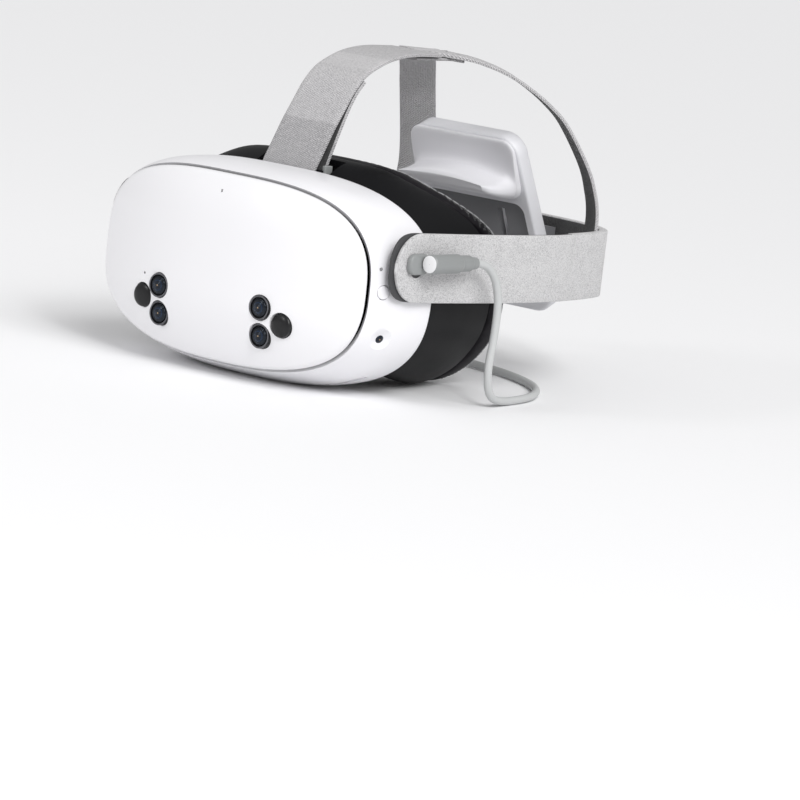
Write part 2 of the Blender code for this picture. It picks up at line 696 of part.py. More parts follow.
# (out, lowest, highest, half width) of the head pad: a back rest, then a shelf that comes forward
SCOOP_LEVELS = (
    (2.3, 67.5, 96.0, 31.0),
    (4.0, 66.5, 97.0, 32.2),
    (6.5, 67.2, 95.6, 32.4),
    (8.5, 68.4, 91.0, 32.2),
    (12.0, 70.4, 88.8, 31.8),
    (18.0, 74.0, 88.0, 31.2),
    (23.0, 77.4, 87.2, 30.0),
    (25.5, 80.0, 85.2, 27.8),
)


def make_scoop():
    """Soft white head pad on the cradle's upper half."""
    rings = []
    for out, low, high, half in SCOOP_LEVELS:
        corner = min(7.0, (high - low) / 2 - 0.4)
        rings.append(cradle_outline(low, high, half, half - 0.6, corner, out))
    loft("cradle_pad", "cradle_white", rings)


# ---------------------------------------------------------------- charging lead

PLUG_X, PLUG_Z = 103.3, 74.6
CORD_R = 2.0
CORD_PATH = [
    (PLUG_X, 71.9, PLUG_Z),
    (PLUG_X, 75.5, PLUG_Z - 0.2),
    (103.5, 82.2, 72.2),
    (104.0, 88.0, 66.4),
    (104.6, 91.0, 58.0),
    (105.2, 91.4, 50.0),
    (106.2, 89.8, 38.0),
    (107.0, 87.4, 22.0),
    (106.6, 91.6, 9.4),
    (104.4, 106.0, 5.3),
    (97.0, 138.0, 5.2),
    (76.0, 167.0, 5.2),
    (44.0, 186.0, 5.2),
    (5.0, 196.0, 5.4),
]


def make_lead():
    adapter = block("charge_adapter", "plug_grey", (ARM_OUT + GAP, 28.6, 68.4), (98.3, 43.6, 78.6), 1.1)
    cut(adapter, cutter("adapter_tongue", box_rings((92.8, 33.0, 71.2), (97.0, 41.0, 73.8))), "UNION")
    barrel = [(3.6, 36.2), (4.7, 37.0), (4.7, 57.6), (4.0, 58.4), (4.0, 66.2), (3.2, 67.0), (3.0, 71.5)]
    plug = turned("charge_plug", "plug_grey", barrel, (PLUG_X, 0, PLUG_Z), (0, 1, 0), steps=24)
    neck = cutter("plug_neck", box_rings((98.7, 37.6, 71.4), (PLUG_X, 42.4, 77.8)))
    cut(plug, neck, "UNION")
    points = smooth(CORD_PATH, 5)
    curve = bpy.data.curves.new("charge_cord", "CURVE")
    curve.dimensions = "3D"
    curve.bevel_depth = CORD_R * MM
    curve.bevel_resolution = 2
    curve.use_fill_caps = True
    spline = curve.splines.new("POLY")
    spline.points.add(len(points) - 1)
    for point, place in zip(spline.points, points):
        point.co = (*at(*place), 1.0)
    cord = bpy.data.objects.new("charge_cord", curve)
    curve.materials.append(material("cord_grey"))
    bpy.context.scene.collection.objects.link(cord)
    end = Vector(CORD_PATH[-1])
    ahead = (end - points[-3]).normalized()
    ahead.z = 0
    body = [(2.4, GAP), (3.0, 6.0), (4.6, 8.0), (5.2, 10.0), (5.2, 28.0), (4.6, 29.0)]
    usb = turned("usb_plug", "plug_grey", body, (end.x, end.y, 8.4), ahead, steps=20)
    tongue = turned_rings([(3.6, 26.0), (3.6, 38.0)], (end.x, end.y, 8.4), ahead, 12)
    cut(usb, cutter("usb_tongue", tongue), "UNION")


def main():
    for item in list(bpy.data.objects):
        bpy.data.objects.remove(item)
    make_front_plate()
    make_cameras()
    make_gasket()
    make_shell()
    make_side_details()
    make_bezel()
    make_optics()
    make_electronics()
    make_face()
    make_arms()
    make_top_strap()
    make_anchor()
    make_cradle()
    make_lead()


main()
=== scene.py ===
"""Looks of the VR headset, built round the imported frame. Sketch sizes are in millimetres."""

import math

import bmesh
import bpy
import numpy as np
from mathutils import Matrix, Vector
from mathutils.bvhtree import BVHTree
from mathutils.kdtree import KDTree


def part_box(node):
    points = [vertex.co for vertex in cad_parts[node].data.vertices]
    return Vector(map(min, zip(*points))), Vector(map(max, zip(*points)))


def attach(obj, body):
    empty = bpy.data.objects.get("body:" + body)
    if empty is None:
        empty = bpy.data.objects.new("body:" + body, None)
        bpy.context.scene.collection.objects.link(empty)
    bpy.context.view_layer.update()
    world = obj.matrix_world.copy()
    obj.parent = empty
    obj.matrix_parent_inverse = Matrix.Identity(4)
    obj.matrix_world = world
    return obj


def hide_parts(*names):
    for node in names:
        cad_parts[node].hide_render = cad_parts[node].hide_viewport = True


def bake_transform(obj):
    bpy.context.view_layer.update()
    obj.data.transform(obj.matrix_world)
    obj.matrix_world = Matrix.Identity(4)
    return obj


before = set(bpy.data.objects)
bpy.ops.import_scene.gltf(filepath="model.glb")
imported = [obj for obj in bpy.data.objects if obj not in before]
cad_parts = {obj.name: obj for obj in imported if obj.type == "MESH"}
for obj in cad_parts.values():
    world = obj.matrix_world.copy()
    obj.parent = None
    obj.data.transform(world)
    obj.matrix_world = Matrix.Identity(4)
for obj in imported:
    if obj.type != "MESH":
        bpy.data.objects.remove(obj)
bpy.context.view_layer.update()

MM = 0.001
STEPS = 144  # points round the body's outline
BASE, MID_Z = 3.0, 56.0  # the flat that it rests on, and the height where the body is widest
PLATE_HALF, PLATE_TOP, PLATE_LOW, PLATE_FRONT = 84.0, 103.0, 10.0, -4.6
REAR_Y = 57.0
SHIFT_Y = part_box("front_plate")[0].y / MM - PLATE_FRONT  # from the sketch's origin to the row frame's

CAMERA_X, CAMERA_Z_UPPER, CAMERA_Z_LOWER, CAMERA_R = 33.0, 42.4, 28.4, 6.1
EMITTER_X, EMITTER_Z, EMITTER_R = 45.2, 35.6, 6.0
SENSOR_Z = 94.3
MICROPHONE_X, MICROPHONE_Z = -45.0, 46.6
PIVOT_Y, PIVOT_Z, HUB_R = 37.0, 72.0, 8.6
ARM_OUT, ARM_WIDE = 95.4, 34.0
GAP = 0.3  # between pieces that fit into or over each other
SIDES = ((1, "l"), (-1, "r"))
LEFT, BACK, UP = (1, 0, 0), (0, 1, 0), (0, 0, 1)


def at(x, y, z):
    """A point of the sketch, in the row frame's metres."""
    return Vector((x, y + SHIFT_Y, z - BASE)) * MM


def add_object(name, data):
    made = bpy.data.objects.new(name, data)
    bpy.context.scene.collection.objects.link(made)
    return made


# ---- materials


class Paint:
    """A Principled material with short helpers for its nodes."""

    def __init__(self, name, colour, roughness, metallic=0.0, **sockets):
        self.made = bpy.data.materials.new(name)
        self.made.use_nodes = True
        self.tree = self.made.node_tree
        self.shader = self.tree.nodes["Principled BSDF"]
        self.set("Base Color", (*colour, 1.0))
        self.set("Roughness", roughness)
        self.set("Metallic", metallic)
        for socket, value in sockets.items():
            self.set(socket.replace("_", " "), value)

    def set(self, socket, value):
        self.shader.inputs[socket].default_value = value

    def node(self, kind, inputs=None, **settings):
        made = self.tree.nodes.new(kind)
        for key, value in settings.items():
            setattr(made, key, value)
        for key, value in (inputs or {}).items():
            if isinstance(value, bpy.types.NodeSocket):
                self.tree.links.new(value, made.inputs[key])
            else:
                made.inputs[key].default_value = value
        return made

    def link(self, out, socket):
        self.tree.links.new(out, self.shader.inputs[socket])

    def place(self, kind="Object", scale=(1, 1, 1)):
        source = self.node("ShaderNodeTexCoord").outputs[kind]
        return self.node("ShaderNodeMapping", {"Vector": source, "Scale": scale}).outputs["Vector"]

    def noise(self, scale, detail=3.0, kind="Object", stretch=(1, 1, 1)):
        inputs = {"Vector": self.place(kind, stretch), "Scale": scale, "Detail": detail}
        return self.node("ShaderNodeTexNoise", inputs).outputs["Fac"]

    def math(self, operation, first, second=0.0):
        return self.node("ShaderNodeMath", {0: first, 1: second}, operation=operation).outputs[0]

    def plus(self, first, second):
        return self.math("ADD", first, second)

    def times(self, first, second):
        return self.math("MULTIPLY", first, second)

    def wave(self, value, pitch):
        """A sine that repeats each time value grows by pitch."""
        return self.math("SINE", self.times(value, 2 * math.pi / pitch))

    def grey(self, colour):
        return self.node("ShaderNodeSeparateColor", {"Color": colour}).outputs["Red"]

    def cells(self, where, scale, **settings):
        """A random grey in each cell of a Voronoi pattern."""
        made = self.node("ShaderNodeTexVoronoi", {"Vector": where, "Scale": scale}, **settings)
        return self.grey(made.outputs["Color"])

    def axes(self, where):
        made = self.node("ShaderNodeSeparateXYZ", {"Vector": where})
        return made.outputs["X"], made.outputs["Y"]

    def blend(self, value, stops, interpolation="LINEAR"):
        """A colour for value, from (position, colour) stops in rising order."""
        made = self.node("ShaderNodeValToRGB", {"Fac": value})
        made.color_ramp.interpolation = interpolation
        elements = made.color_ramp.elements
        for i, (position, colour) in enumerate(stops):
            element = elements[i] if i < 2 else elements.new(position)
            element.position, element.color = position, (*colour, 1.0)
        return made.outputs["Color"]

    def tint(self, value, low, high, ends):
        """Colours the material from low to high as value passes from one of the ends to the other."""
        self.link(self.blend(value, zip(ends, (low, high))), "Base Color")

    def range(self, value, low, high):
        made = self.node("ShaderNodeMapRange", {"Value": value, "To Min": low, "To Max": high})
        return made.outputs["Result"]

    def bump(self, height, strength, distance):
        made = self.node("ShaderNodeBump", {"Height": height, "Strength": strength, "Distance": distance})
        self.link(made.outputs["Normal"], "Normal")


def plastic(name, colour, roughness, grain=2600.0, strength=0.04, coat=0.0, shine=0.5):
    """Moulded plastic with a fine grain and a slightly uneven gloss."""
    paint = Paint(name, colour, roughness, Coat_Weight=coat, Coat_Roughness=0.12, Specular_IOR_Level=shine)
    paint.bump(paint.noise(grain, 2.0), strength, 0.0002)
    paint.link(paint.range(paint.noise(45.0), roughness - 0.05, roughness + 0.05), "Roughness")
    return paint.made


def knit(name, light, dark, fleck, rib=0.55):
    """Heathered knit. Its texture runs in millimetres along and across the strap."""
    paint = Paint(name, light, 0.92, Sheen_Weight=0.25, Sheen_Roughness=0.5)
    grey = paint.cells(paint.place("UV", (0.8, 1.25, 1)), fleck)
    patch = paint.noise(0.10, 4.0, "UV")
    mixed = paint.plus(paint.times(grey, 0.8), paint.times(patch, 0.35))
    paint.tint(mixed, dark, light, (0.12, 0.62))
    along, across = paint.axes(paint.place("UV"))
    wale = paint.math("ABSOLUTE", paint.wave(across, 2 * rib))
    course = paint.wave(paint.plus(along, wale), rib)
    loops = paint.plus(wale, paint.times(course, 0.5))
    paint.bump(paint.plus(loops, paint.noise(5.0, 5.0, "UV")), 0.55, 0.00022)
    return paint.made


def webbing(name, light, dark, zones):
    """Woven strap. zones are (where it starts in millimetres along, how light it is) from its lower end."""
    longest = 140.0
    paint = Paint(name, light, 0.93, Sheen_Weight=0.2, Sheen_Roughness=0.5)
    where = paint.place("UV")
    along, across = paint.axes(where)
    twill = paint.wave(paint.plus(along, paint.times(across, 0.9)), 1.5)
    rib = paint.wave(across, 0.9)
    fleck = paint.plus(paint.times(paint.cells(where, 2.4), 0.55), paint.times(twill, 0.22))
    stops = [(start / longest, (level, level, level)) for start, level in zones]
    zone = paint.grey(paint.blend(paint.math("DIVIDE", along, longest), stops, "EASE"))
    paint.tint(paint.plus(fleck, zone), dark, light, (0.2, 1.0))
    paint.bump(paint.plus(twill, paint.times(rib, 0.5)), 0.8, 0.00025)
    return paint.made


def mesh_cloth(name, colour, tip):
    """Black spacer knit for the face cushion: small raised cells, in the object's own metres."""
    paint = Paint(name, colour, 0.88, Sheen_Weight=0.35, Sheen_Roughness=0.4)
    cells = paint.node("ShaderNodeTexVoronoi", {"Vector": paint.place(), "Scale": 900.0})
    raised = paint.math("SUBTRACT", 0.8, cells.outputs["Distance"])
    paint.tint(raised, colour, tip, (0.35, 0.8))
    paint.bump(paint.plus(raised, paint.noise(300.0)), 0.8, 0.0004)
    return paint.made


def lens_paint(name):
    """Coated camera glass: black, with faint rings in its bump, a painted blue reflection ring half way out
    and a painted warm glint at its centre. V is the distance from its centre.
    """
    paint = Paint(name, (0.003, 0.003, 0.005), 0.07, Specular_IOR_Level=0.4)
    paint.set("Specular Tint", (0.75, 0.87, 1.0, 1.0))
    _, radius = paint.axes(paint.node("ShaderNodeTexCoord").outputs["UV"])
    # The warm stops at the centre are a painted glint, and the bluish stops half way out are a painted
    # reflection ring. The rest is the glass's own black.
    stops = (
        (0.0, (0.55, 0.42, 0.28)),
        (0.06, (0.30, 0.20, 0.12)),
        (0.10, (0.004, 0.004, 0.006)),
        (0.42, (0.003, 0.005, 0.012)),
        (0.50, (0.008, 0.020, 0.05)),
        (0.58, (0.003, 0.004, 0.008)),
        (1.0, (0.003, 0.003, 0.004)),
    )
    paint.link(paint.blend(paint.math("DIVIDE", radius, 5.0), stops), "Base Color")
    paint.bump(paint.wave(radius, 0.55), 0.55, 0.00006)
    return paint.made


def clear_glass(name, tint):
    paint = Paint(name, tint, 0.02, Transmission_Weight=1.0, IOR=1.5, Coat_Weight=0.3)
    paint.link(paint.range(paint.noise(20.0), 0.015, 0.04), "Roughness")
    return paint.made


def circuit_board(name):
    paint = Paint(name, (0.01, 0.08, 0.04), 0.45)
    grey = paint.cells(paint.place(), 220.0, distance="CHEBYCHEV")
    paint.tint(grey, (0.008, 0.07, 0.035), (0.03, 0.03, 0.03), (0.6, 0.75))
    return paint.made


def brushed_metal(name):
    paint = Paint(name, (0.62, 0.62, 0.64), 0.32, 1.0)
    paint.bump(paint.noise(120.0, 3.0, stretch=(1, 1, 40)), 0.25, 0.0002)
    return paint.made


# Colours are linear, and the number after one is its roughness.
WHITE = plastic("white_shell_plastic", (0.84, 0.835, 0.86), 0.36, coat=0.10)
PLATE_WHITE = plastic("white_plate_plastic", (0.85, 0.845, 0.865), 0.30, strength=0.02, coat=0.25)
DISH_GREY = plastic("dish_grey_plastic", (0.66, 0.66, 0.69), 0.45)
SATIN_BLACK = plastic(
    "satin_black_plastic", (0.006, 0.006, 0.007), 0.46, grain=1800.0, strength=0.08, shine=0.08
)
PAD_BLACK = plastic("pad_side_black", (0.007, 0.006, 0.008), 0.50, grain=1500.0, strength=0.10, shine=0.14)
CAMERA_BLACK = plastic("camera_black_plastic", (0.006, 0.006, 0.007), 0.28, shine=0.3)
EMITTER_BLACK = plastic("emitter_black_plastic", (0.008, 0.008, 0.009), 0.30, strength=0.02, shine=0.35)
RIM_GREY = plastic("camera_rim_plastic", (0.09, 0.09, 0.10), 0.30)
CHARCOAL = plastic("charcoal_plastic", (0.045, 0.045, 0.048), 0.55, strength=0.10)
CRADLE_WHITE = plastic("cradle_white_plastic", (0.76, 0.76, 0.79), 0.42, coat=0.05)
CRADLE_SOFT = plastic("cradle_soft_plastic", (0.76, 0.755, 0.785), 0.62, strength=0.05, shine=0.3)
CRADLE_GREY = plastic("cradle_grey_plastic", (0.17, 0.17, 0.18), 0.50, strength=0.08)
PLUG_GREY = plastic("plug_grey_plastic", (0.26, 0.27, 0.27), 0.42)
PLUG_FACE = plastic("plug_face_plastic", (0.80, 0.80, 0.81), 0.45)
CORD_GREY = plastic("cord_grey_rubber", (0.50, 0.51, 0.51), 0.52, strength=0.08)
GASKET = plastic("seam_gasket_rubber", (0.07, 0.07, 0.075), 0.70, strength=0.05)
THREAD = plastic("seam_thread", (0.36, 0.36, 0.37), 0.85, strength=0.2)
BATTERY = plastic("battery_wrap", (0.08, 0.08, 0.09), 0.38)
DISPLAY = plastic("display_glass", (0.008, 0.008, 0.013), 0.10, strength=0.0, coat=1.0)
LED = plastic("led_window", (0.30, 0.30, 0.31), 0.30)
KNIT = knit("heather_knit", (0.72, 0.715, 0.72), (0.32, 0.315, 0.325), fleck=3.2)
# The top strap is darkest at the anchor and palest just before it levels out.
TOP_ZONES = ((0, 0.22), (27, 0.24), (28.5, 0.48), (62, 0.52), (64, 0.62), (76, 0.62), (78, 0.44), (100, 0.40))
TOP_KNIT = webbing("ribbed_webbing", (0.62, 0.61, 0.62), (0.25, 0.245, 0.255), TOP_ZONES)
BRANCH_ZONES = ((0, 0.50), (139, 0.50))
BRANCH_KNIT = webbing("branch_webbing", (0.64, 0.63, 0.64), (0.27, 0.265, 0.275), BRANCH_ZONES)
LINING = knit("charcoal_lining", (0.060, 0.060, 0.062), (0.022, 0.022, 0.023), fleck=2.2, rib=0.5)
CUSHION = mesh_cloth("black_spacer_knit", (0.010, 0.010, 0.011), (0.060, 0.058, 0.060))
CAMERA_GLASS = lens_paint("coated_glass_painted_glint")
EYE_GLASS = clear_glass("eye_lens_glass", (0.92, 0.95, 0.97))
BOARD = circuit_board("circuit_board")
METAL = brushed_metal("bare_aluminium")


# ---- mesh helpers


def closed_mesh(name, shape):
    """A mesh of the bmesh, with its faces turned outwards. It frees the bmesh."""
    bmesh.ops.recalc_face_normals(shape, faces=shape.faces)
    mesh = bpy.data.meshes.new(name)
    shape.to_mesh(mesh)
    shape.free()
    return mesh


def publish(name, shape, materials, body, slot, *stands_for, sharp=35):
    """Turns a bmesh into a piece which rides on a body and stands for CAD nodes."""
    mesh = closed_mesh(name, shape)
    for material in materials if isinstance(materials, (list, tuple)) else [materials]:
        mesh.materials.append(material)
    mesh.shade_smooth()
    mesh.set_sharp_from_angle(angle=math.radians(sharp))
    piece = add_object(name, mesh)
    if body:
        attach(piece, body)
    if stands_for:
        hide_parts(*stands_for)
    return piece


def skin(shape, rings, hollow=False, faces=None):
    """Joins equal rings of row-frame points. UV is in millimetres: along the rings and round them."""
    layer = shape.loops.layers.uv.verify()
    rows = [[shape.verts.new(point) for point in ring] for ring in rings]
    count = len(rows[0])
    middle = [sum(ring, Vector()) / count for ring in rings]
    travel = np.cumsum([0] + [(b - a).length for a, b in zip(middle, middle[1:] + middle[:1])]) / MM
    round_ = []
    for ring in rings:
        gaps = [(b - a).length for a, b in zip(ring, ring[1:] + ring[:1])]
        round_.append(np.cumsum([0] + gaps) / MM)
    stretches = len(rows) if hollow else len(rows) - 1
    for j in range(stretches):
        first, second = rows[j], rows[(j + 1) % len(rows)]
        for i in range(count):
            after = (i + 1) % count
            face = shape.faces.new((first[i], first[after], second[after], second[i]))
            places = ((j, i), (j, i + 1), (j + 1, i + 1), (j + 1, i))
            for loop, (row, step) in zip(face.loops, places):
                loop[layer].uv = (travel[row], round_[row % len(rows)][step])
            if faces:
                face.material_index = faces(j, i)
    if not hollow:
        shape.faces.new(rows[0][::-1])
        shape.faces.new(rows[-1])


def loft(name, rings, materials, body, slot, *stands_for, hollow=False, faces=None, sharp=35):
    shape = bmesh.new()
    skin(shape, rings, hollow, faces=faces)
    return publish(name, shape, materials, body, slot, *stands_for, sharp=sharp)


def turned_rings(profile, centre, axis, steps=48):
    """Rings round an axis, one for each (radius, distance along it), in sketch millimetres."""
    along = Vector(axis).normalized()
    side = along.orthogonal().normalized()
    up = along.cross(side)
    rings = []
    for radius, height in profile:
        middle = Vector(centre) + along * height
        turns = [2 * math.pi * i / steps for i in range(steps)]
        rings.append([at(*(middle + (side * math.cos(t) + up * math.sin(t)) * radius)) for t in turns])
    return rings


def turned(
    name, profile, centre, axis, materials, body, slot, *stands_for, hollow=False, steps=48, faces=None
):
    """A piece turned round an axis from its (radius, distance along it) profile."""
    rings = turned_rings(profile, centre, axis, steps)
    return loft(name, rings, materials, body, slot, *stands_for, hollow=hollow, faces=faces)


def second_paint(*steps):
    """For turned's faces: these steps of the profile have the second material."""
    return lambda step, _: int(step in steps)


def bore(radius, start, end, centre, axis, steps=64):
    """Rings of a plain round hole's cutter."""
    return turned_rings([(radius, start), (radius, end)], centre, axis, steps)


def radial_uv(piece, centre, axis):
    """Writes each point's distance from an axis, in millimetres, as its V."""
    layer = piece.data.uv_layers[0]
    middle, along = at(*centre), Vector(axis).normalized()
    for loop in piece.data.loops:
        offset = piece.data.vertices[loop.vertex_index].co - middle
        layer.data[loop.index].uv = (0.0, (offset - along * offset.dot(along)).length / MM)


def drill(piece, skins, name):
    """Cuts closed skins out of a piece, and applies the cut."""
    shape = bmesh.new()
    for rings in skins:
        skin(shape, rings)
    tool = add_object(name, closed_mesh(name, shape))
    step = piece.modifiers.new(name, "BOOLEAN")
    step.object = tool
    apply_modifiers(piece)
    bpy.data.objects.remove(tool)


def apply_modifiers(piece):
    """Replaces a piece's mesh by what its modifiers make of it."""
    bpy.context.view_layer.update()
    graph = bpy.context.evaluated_depsgraph_get()
    mesh = bpy.data.meshes.new_from_object(piece.evaluated_get(graph))
    piece.modifiers.clear()
    piece.data = mesh


def cubics(points, per):
    """Catmull-Rom samples, per to each stretch between the points other than the first and last."""
    found = []
    for a, b, c, d in zip(points, points[1:], points[2:], points[3:]):
        for t in np.arange(per) / per:
            cubic = 2 * b + (c - a) * t + (2 * a - 5 * b + 4 * c - d) * t**2
            found.append((cubic + (3 * b - 3 * c + d - a) * t**3) / 2)
    return found


def smooth(points, per):
    """A smooth curve through points, with per samples to each stretch."""
    points = np.array(points, float)
    ends = np.vstack([2 * points[0] - points[1], points, 2 * points[-1] - points[-2]])
    return [Vector(point) for point in [*cubics(ends, per), points[-1]]]


def curve_stages(stages, per):
    """More stages between the given ones, on a smooth curve that levels out at both ends."""
    ends = np.array([stages[0], *stages, stages[-1]], float)
    return [tuple(stage) for stage in cubics(ends, per)] + [stages[-1]]


def even(points, step):
    """The same line with a point about every step."""
    lengths = np.cumsum([0] + [(b - a).length for a, b in zip(points, points[1:])])
    wanted = np.linspace(0, lengths[-1], max(2, int(round(lengths[-1] / step)) + 1))
    axes = [np.interp(wanted, lengths, [p[i] for p in points]) for i in range(3)]
    return [Vector(point) for point in zip(*axes)]


def repaint(material, *nodes):
    for node in nodes:
        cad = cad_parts[node]
        cad.data.materials.clear()
        cad.data.materials.append(material)


# ---- body surfaces


TOP_SQUARE, LOW_SQUARE = 3.0, 2.65  # how square the outline is: 2 would be an ellipse


def outline(half, top, low):
    """Rounded outline in (x, z), clockwise from the top centre, cut flat at the base."""
    points = []
    for step in range(STEPS):
        turn = 2 * math.pi * step / STEPS
        side, up = math.sin(turn), math.cos(turn)
        power, reach = (2 / TOP_SQUARE, top - MID_Z) if up >= 0 else (2 / LOW_SQUARE, MID_Z - low)
        x = math.copysign(abs(side) ** power * half, side)
        z = MID_Z + math.copysign(abs(up) ** power * reach, up)
        points.append((x, max(z, BASE)))
    return points


def plate_y(x, z):
    """Depth of the front plate's face, which falls back at its sides, top and bottom."""
    swept = 16.0 * abs(x / PLATE_HALF) ** 2.3
    low = 0.0095 * max(0.0, 45.0 - z) ** 2
    high = 0.0075 * max(0.0, z - 75.0) ** 2
    return PLATE_FRONT + swept + low + high


def rear_y(z):
    """Depth of the shell's rear edge, which comes forward at its top and bottom."""
    return REAR_Y - 0.006 * max(0.0, z - 60.0) ** 2 - 0.0012 * max(0.0, 40.0 - z) ** 2


# ---- front plate


def plate_ring(scale, depth):
    """A ring of the plate: its outline at this scale, so far behind its face."""
    ring = []
    top, low = MID_Z + (PLATE_TOP - MID_Z) * scale, MID_Z - (MID_Z - PLATE_LOW) * scale
    for x, z in outline(PLATE_HALF * scale, top, low):
        ring.append(at(x, plate_y(x, z) + depth, z))
    return ring


def camera_places(side):
    return (
        ("upper", side * CAMERA_X, CAMERA_Z_UPPER, CAMERA_R),
        ("lower", side * CAMERA_X, CAMERA_Z_LOWER, CAMERA_R),
        ("outer", side * EMITTER_X, EMITTER_Z, EMITTER_R),
    )


def make_front_plate():
    scales = [0.03, *np.linspace(0.1, 0.9, 17), 0.93, 0.95]
    face = [(scale, 0.0) for scale in scales]
    for i in range(9):
        turn = math.radians(90 * i / 8)
        face.append((0.965 + 0.035 * math.sin(turn), 1.9 * (1 - math.cos(turn))))
    back = [(1.0, 3.0), (0.998, 3.2), (0.985, 3.2), (0.955, 2.8), (0.8, 2.2), (0.4, 2.2), (0.03, 2.2)]
    rings = [plate_ring(*step) for step in face + back]
    plate = loft("front_plate_skin", rings, PLATE_WHITE, "headset", "white_plate", "front_plate")
    holes = []
    for side in (-1, 1):
        for _, x, z, radius in camera_places(side):
            y = plate_y(x, z)
            holes.append(bore(radius + GAP, y - 4, y + 14, (x, 0, z), BACK))
    holes.append(bore(0.5, -12, 14, (0, 0, SENSOR_Z), BACK, 32))
    x, z = MICROPHONE_X, MICROPHONE_Z
    holes.append(bore(0.7, -12, 14, (x, 0, z), BACK, 24))
    drill(plate, holes, "plate_holes")
    plate.data.set_sharp_from_angle(angle=math.radians(35))
    mesh = [(0.1, 1.0), (0.68, 1.0), (0.68, 1.8), (0.1, 1.8)]
    place = (x, plate_y(x, z), z)
    turned("microphone_mesh", mesh, place, BACK, CAMERA_BLACK, "headset", "camera_black", steps=24)


def make_cameras():
    barrel = [(1.0, 9.0), (6.1, 9.0), (6.1, -0.5), (5.95, -0.75), (5.6, -0.8), (5.3, -0.6), (5.1, 0.2)]
    barrel += [(4.95, 0.2), (4.95, 1.4), (1.0, 1.4)]
    dome = [(4.7, 1.2), (4.7, 0.1)]
    turns = [math.radians(90 * i / 15) for i in range(1, 15)]
    for i, turn in enumerate(turns):
        ripple = 0.10 if i in (3, 7) else 0.0
        dome.append((4.7 * math.cos(turn), 0.1 - 1.45 * math.sin(turn) + ripple))
    dome.append((0.12, -1.35))
    cap = [(EMITTER_R, 7.0), (EMITTER_R, 0.2)]
    for turn in turns:
        cap.append((EMITTER_R * math.cos(turn) ** 0.8, 0.2 - 1.9 * math.sin(turn)))
    cap.append((0.12, -1.7))
    for side, letter in SIDES:
        for level, x, z, _ in camera_places(side):
            place = (x, plate_y(x, z), z), BACK
            if level == "outer":
                names = ("headset", "camera_black", f"ir_emitter_{letter}")
                turned(f"emitter_dome_{letter}", cap, *place, EMITTER_BLACK, *names)
                continue
            names = ("headset", "camera_black", f"camera_barrel_{level}_{letter}")
            paints = [CAMERA_BLACK, RIM_GREY]
            rim = second_paint(2, 3, 4)
            turned(f"camera_tube_{level}_{letter}", barrel, *place, paints, *names, hollow=True, faces=rim)
            names = ("headset", "camera_glass", f"camera_glass_{level}_{letter}")
            radial_uv(turned(f"camera_dome_{level}_{letter}", dome, *place, CAMERA_GLASS, *names), *place)


# ---- shell

# (place, direction it faces) of what sits in the shell on the wearer's left
SIDE_CAMERA = ((86.3, 27.5, 34.4), (0.90, -0.28, -0.33))
POWER = ((88.2, 22.7, 58.5), (0.95, -0.31, 0.0))
STATUS = ((87.2, 20.3, 69.8), (0.95, -0.31, 0.05))
UNDER = ((58.0, 40.0, 9.6), (0.36, 0.0, -0.93))
ROCKER_LONG, ROCKER_WIDE = 22.0, 6.0
BUTTON_R = 3.4
# (half width, top, bottom, share of the way back to the rear edge) of the shell's outer and inner face
SHELL_OUTER = [
    (85.1, 104.0, 8.9, -0.008), (85.7, 104.4, 8.3, 0.0), (88.2, 106.0, 5.8, 0.14),
    (90.3, 107.2, 2.8, 0.36), (91.3, 107.6, 1.5, 0.62), (91.5, 107.6, 1.5, 0.88),
    (91.2, 107.3, 1.8, 0.98), (90.4, 106.5, 2.4, 1.0),
]
SHELL_INNER = [
    (88.9, 105.2, 5.4, 1.0), (88.9, 105.2, 5.4, 0.62), (87.6, 104.6, 5.9, 0.36),
    (85.2, 103.0, 8.0, 0.16), (82.8, 101.4, 11.6, 0.06),
]
SHELL_BEHIND = 4.3  # the shell's front edge, behind the plate's face


def shell_ring(half, top, low, share):
    ring = []
    for x, z in outline(half, top, low):
        front = plate_y(x, z) + SHELL_BEHIND
        ring.append(at(x, front + (rear_y(z) - front) * share, z))
    return ring


def mirrored(spot, side):
    """The spot's place and direction, on the right if side is -1."""
    (x, y, z), (a, b, c) = spot
    return (x * side, y, z), (a * side, b, c)


def rocker_box(half_long, half_wide, levels, corner=2.4):
    """Rounded rings under the wearer's left, square to the shell's slope."""
    centre, normal = (Vector(part) for part in UNDER)
    normal.normalize()
    along = normal.cross(Vector(BACK)).normalized()
    rings = []
    for level, inset in levels:
        ring = []
        for i in range(32):
            turn = 2 * math.pi * (i + 0.5) / 32
            a = math.copysign(half_long - corner, math.cos(turn)) + (corner - inset) * math.cos(turn)
            w = math.copysign(half_wide - corner, math.sin(turn)) + (corner - inset) * math.sin(turn)
            ring.append(at(*(centre + normal * level + along * a + Vector((0, w, 0)))))
        rings.append(ring)
    return rings


def make_shell():
    stages = curve_stages(SHELL_OUTER, 5) + SHELL_INNER
    rings = [shell_ring(*stage) for stage in stages]
    shell = loft("shell_skin", rings, [WHITE, DISH_GREY], "headset", "white_shell", "main_shell", hollow=True)
    tools = []
    dish = [(2.05, -8), (2.05, -2.0), (4.4, -1.3), (7.4, 0.1), (8.2, 1.5), (8.2, 4)]
    for side in (-1, 1):
        tools.append(turned_rings(dish, *mirrored(SIDE_CAMERA, side), 64))
        tools.append(bore(6.3, -8, 8, (side * 90, PIVOT_Y, PIVOT_Z), LEFT, 48))
    tools.append(bore(BUTTON_R + GAP, -8, 4, *POWER))
    tools.append(bore(0.9, -8, 4, *STATUS, 32))
    tools.append(bore(BUTTON_R + GAP, -6, 4, *mirrored(UNDER, -1)))
    tools.append(rocker_box(ROCKER_LONG / 2 + 0.4, ROCKER_WIDE / 2 + 0.4, ((-6, 0), (4, 0))))
    drill(shell, tools, "shell_holes")
    shell.data.set_sharp_from_angle(angle=math.radians(32))


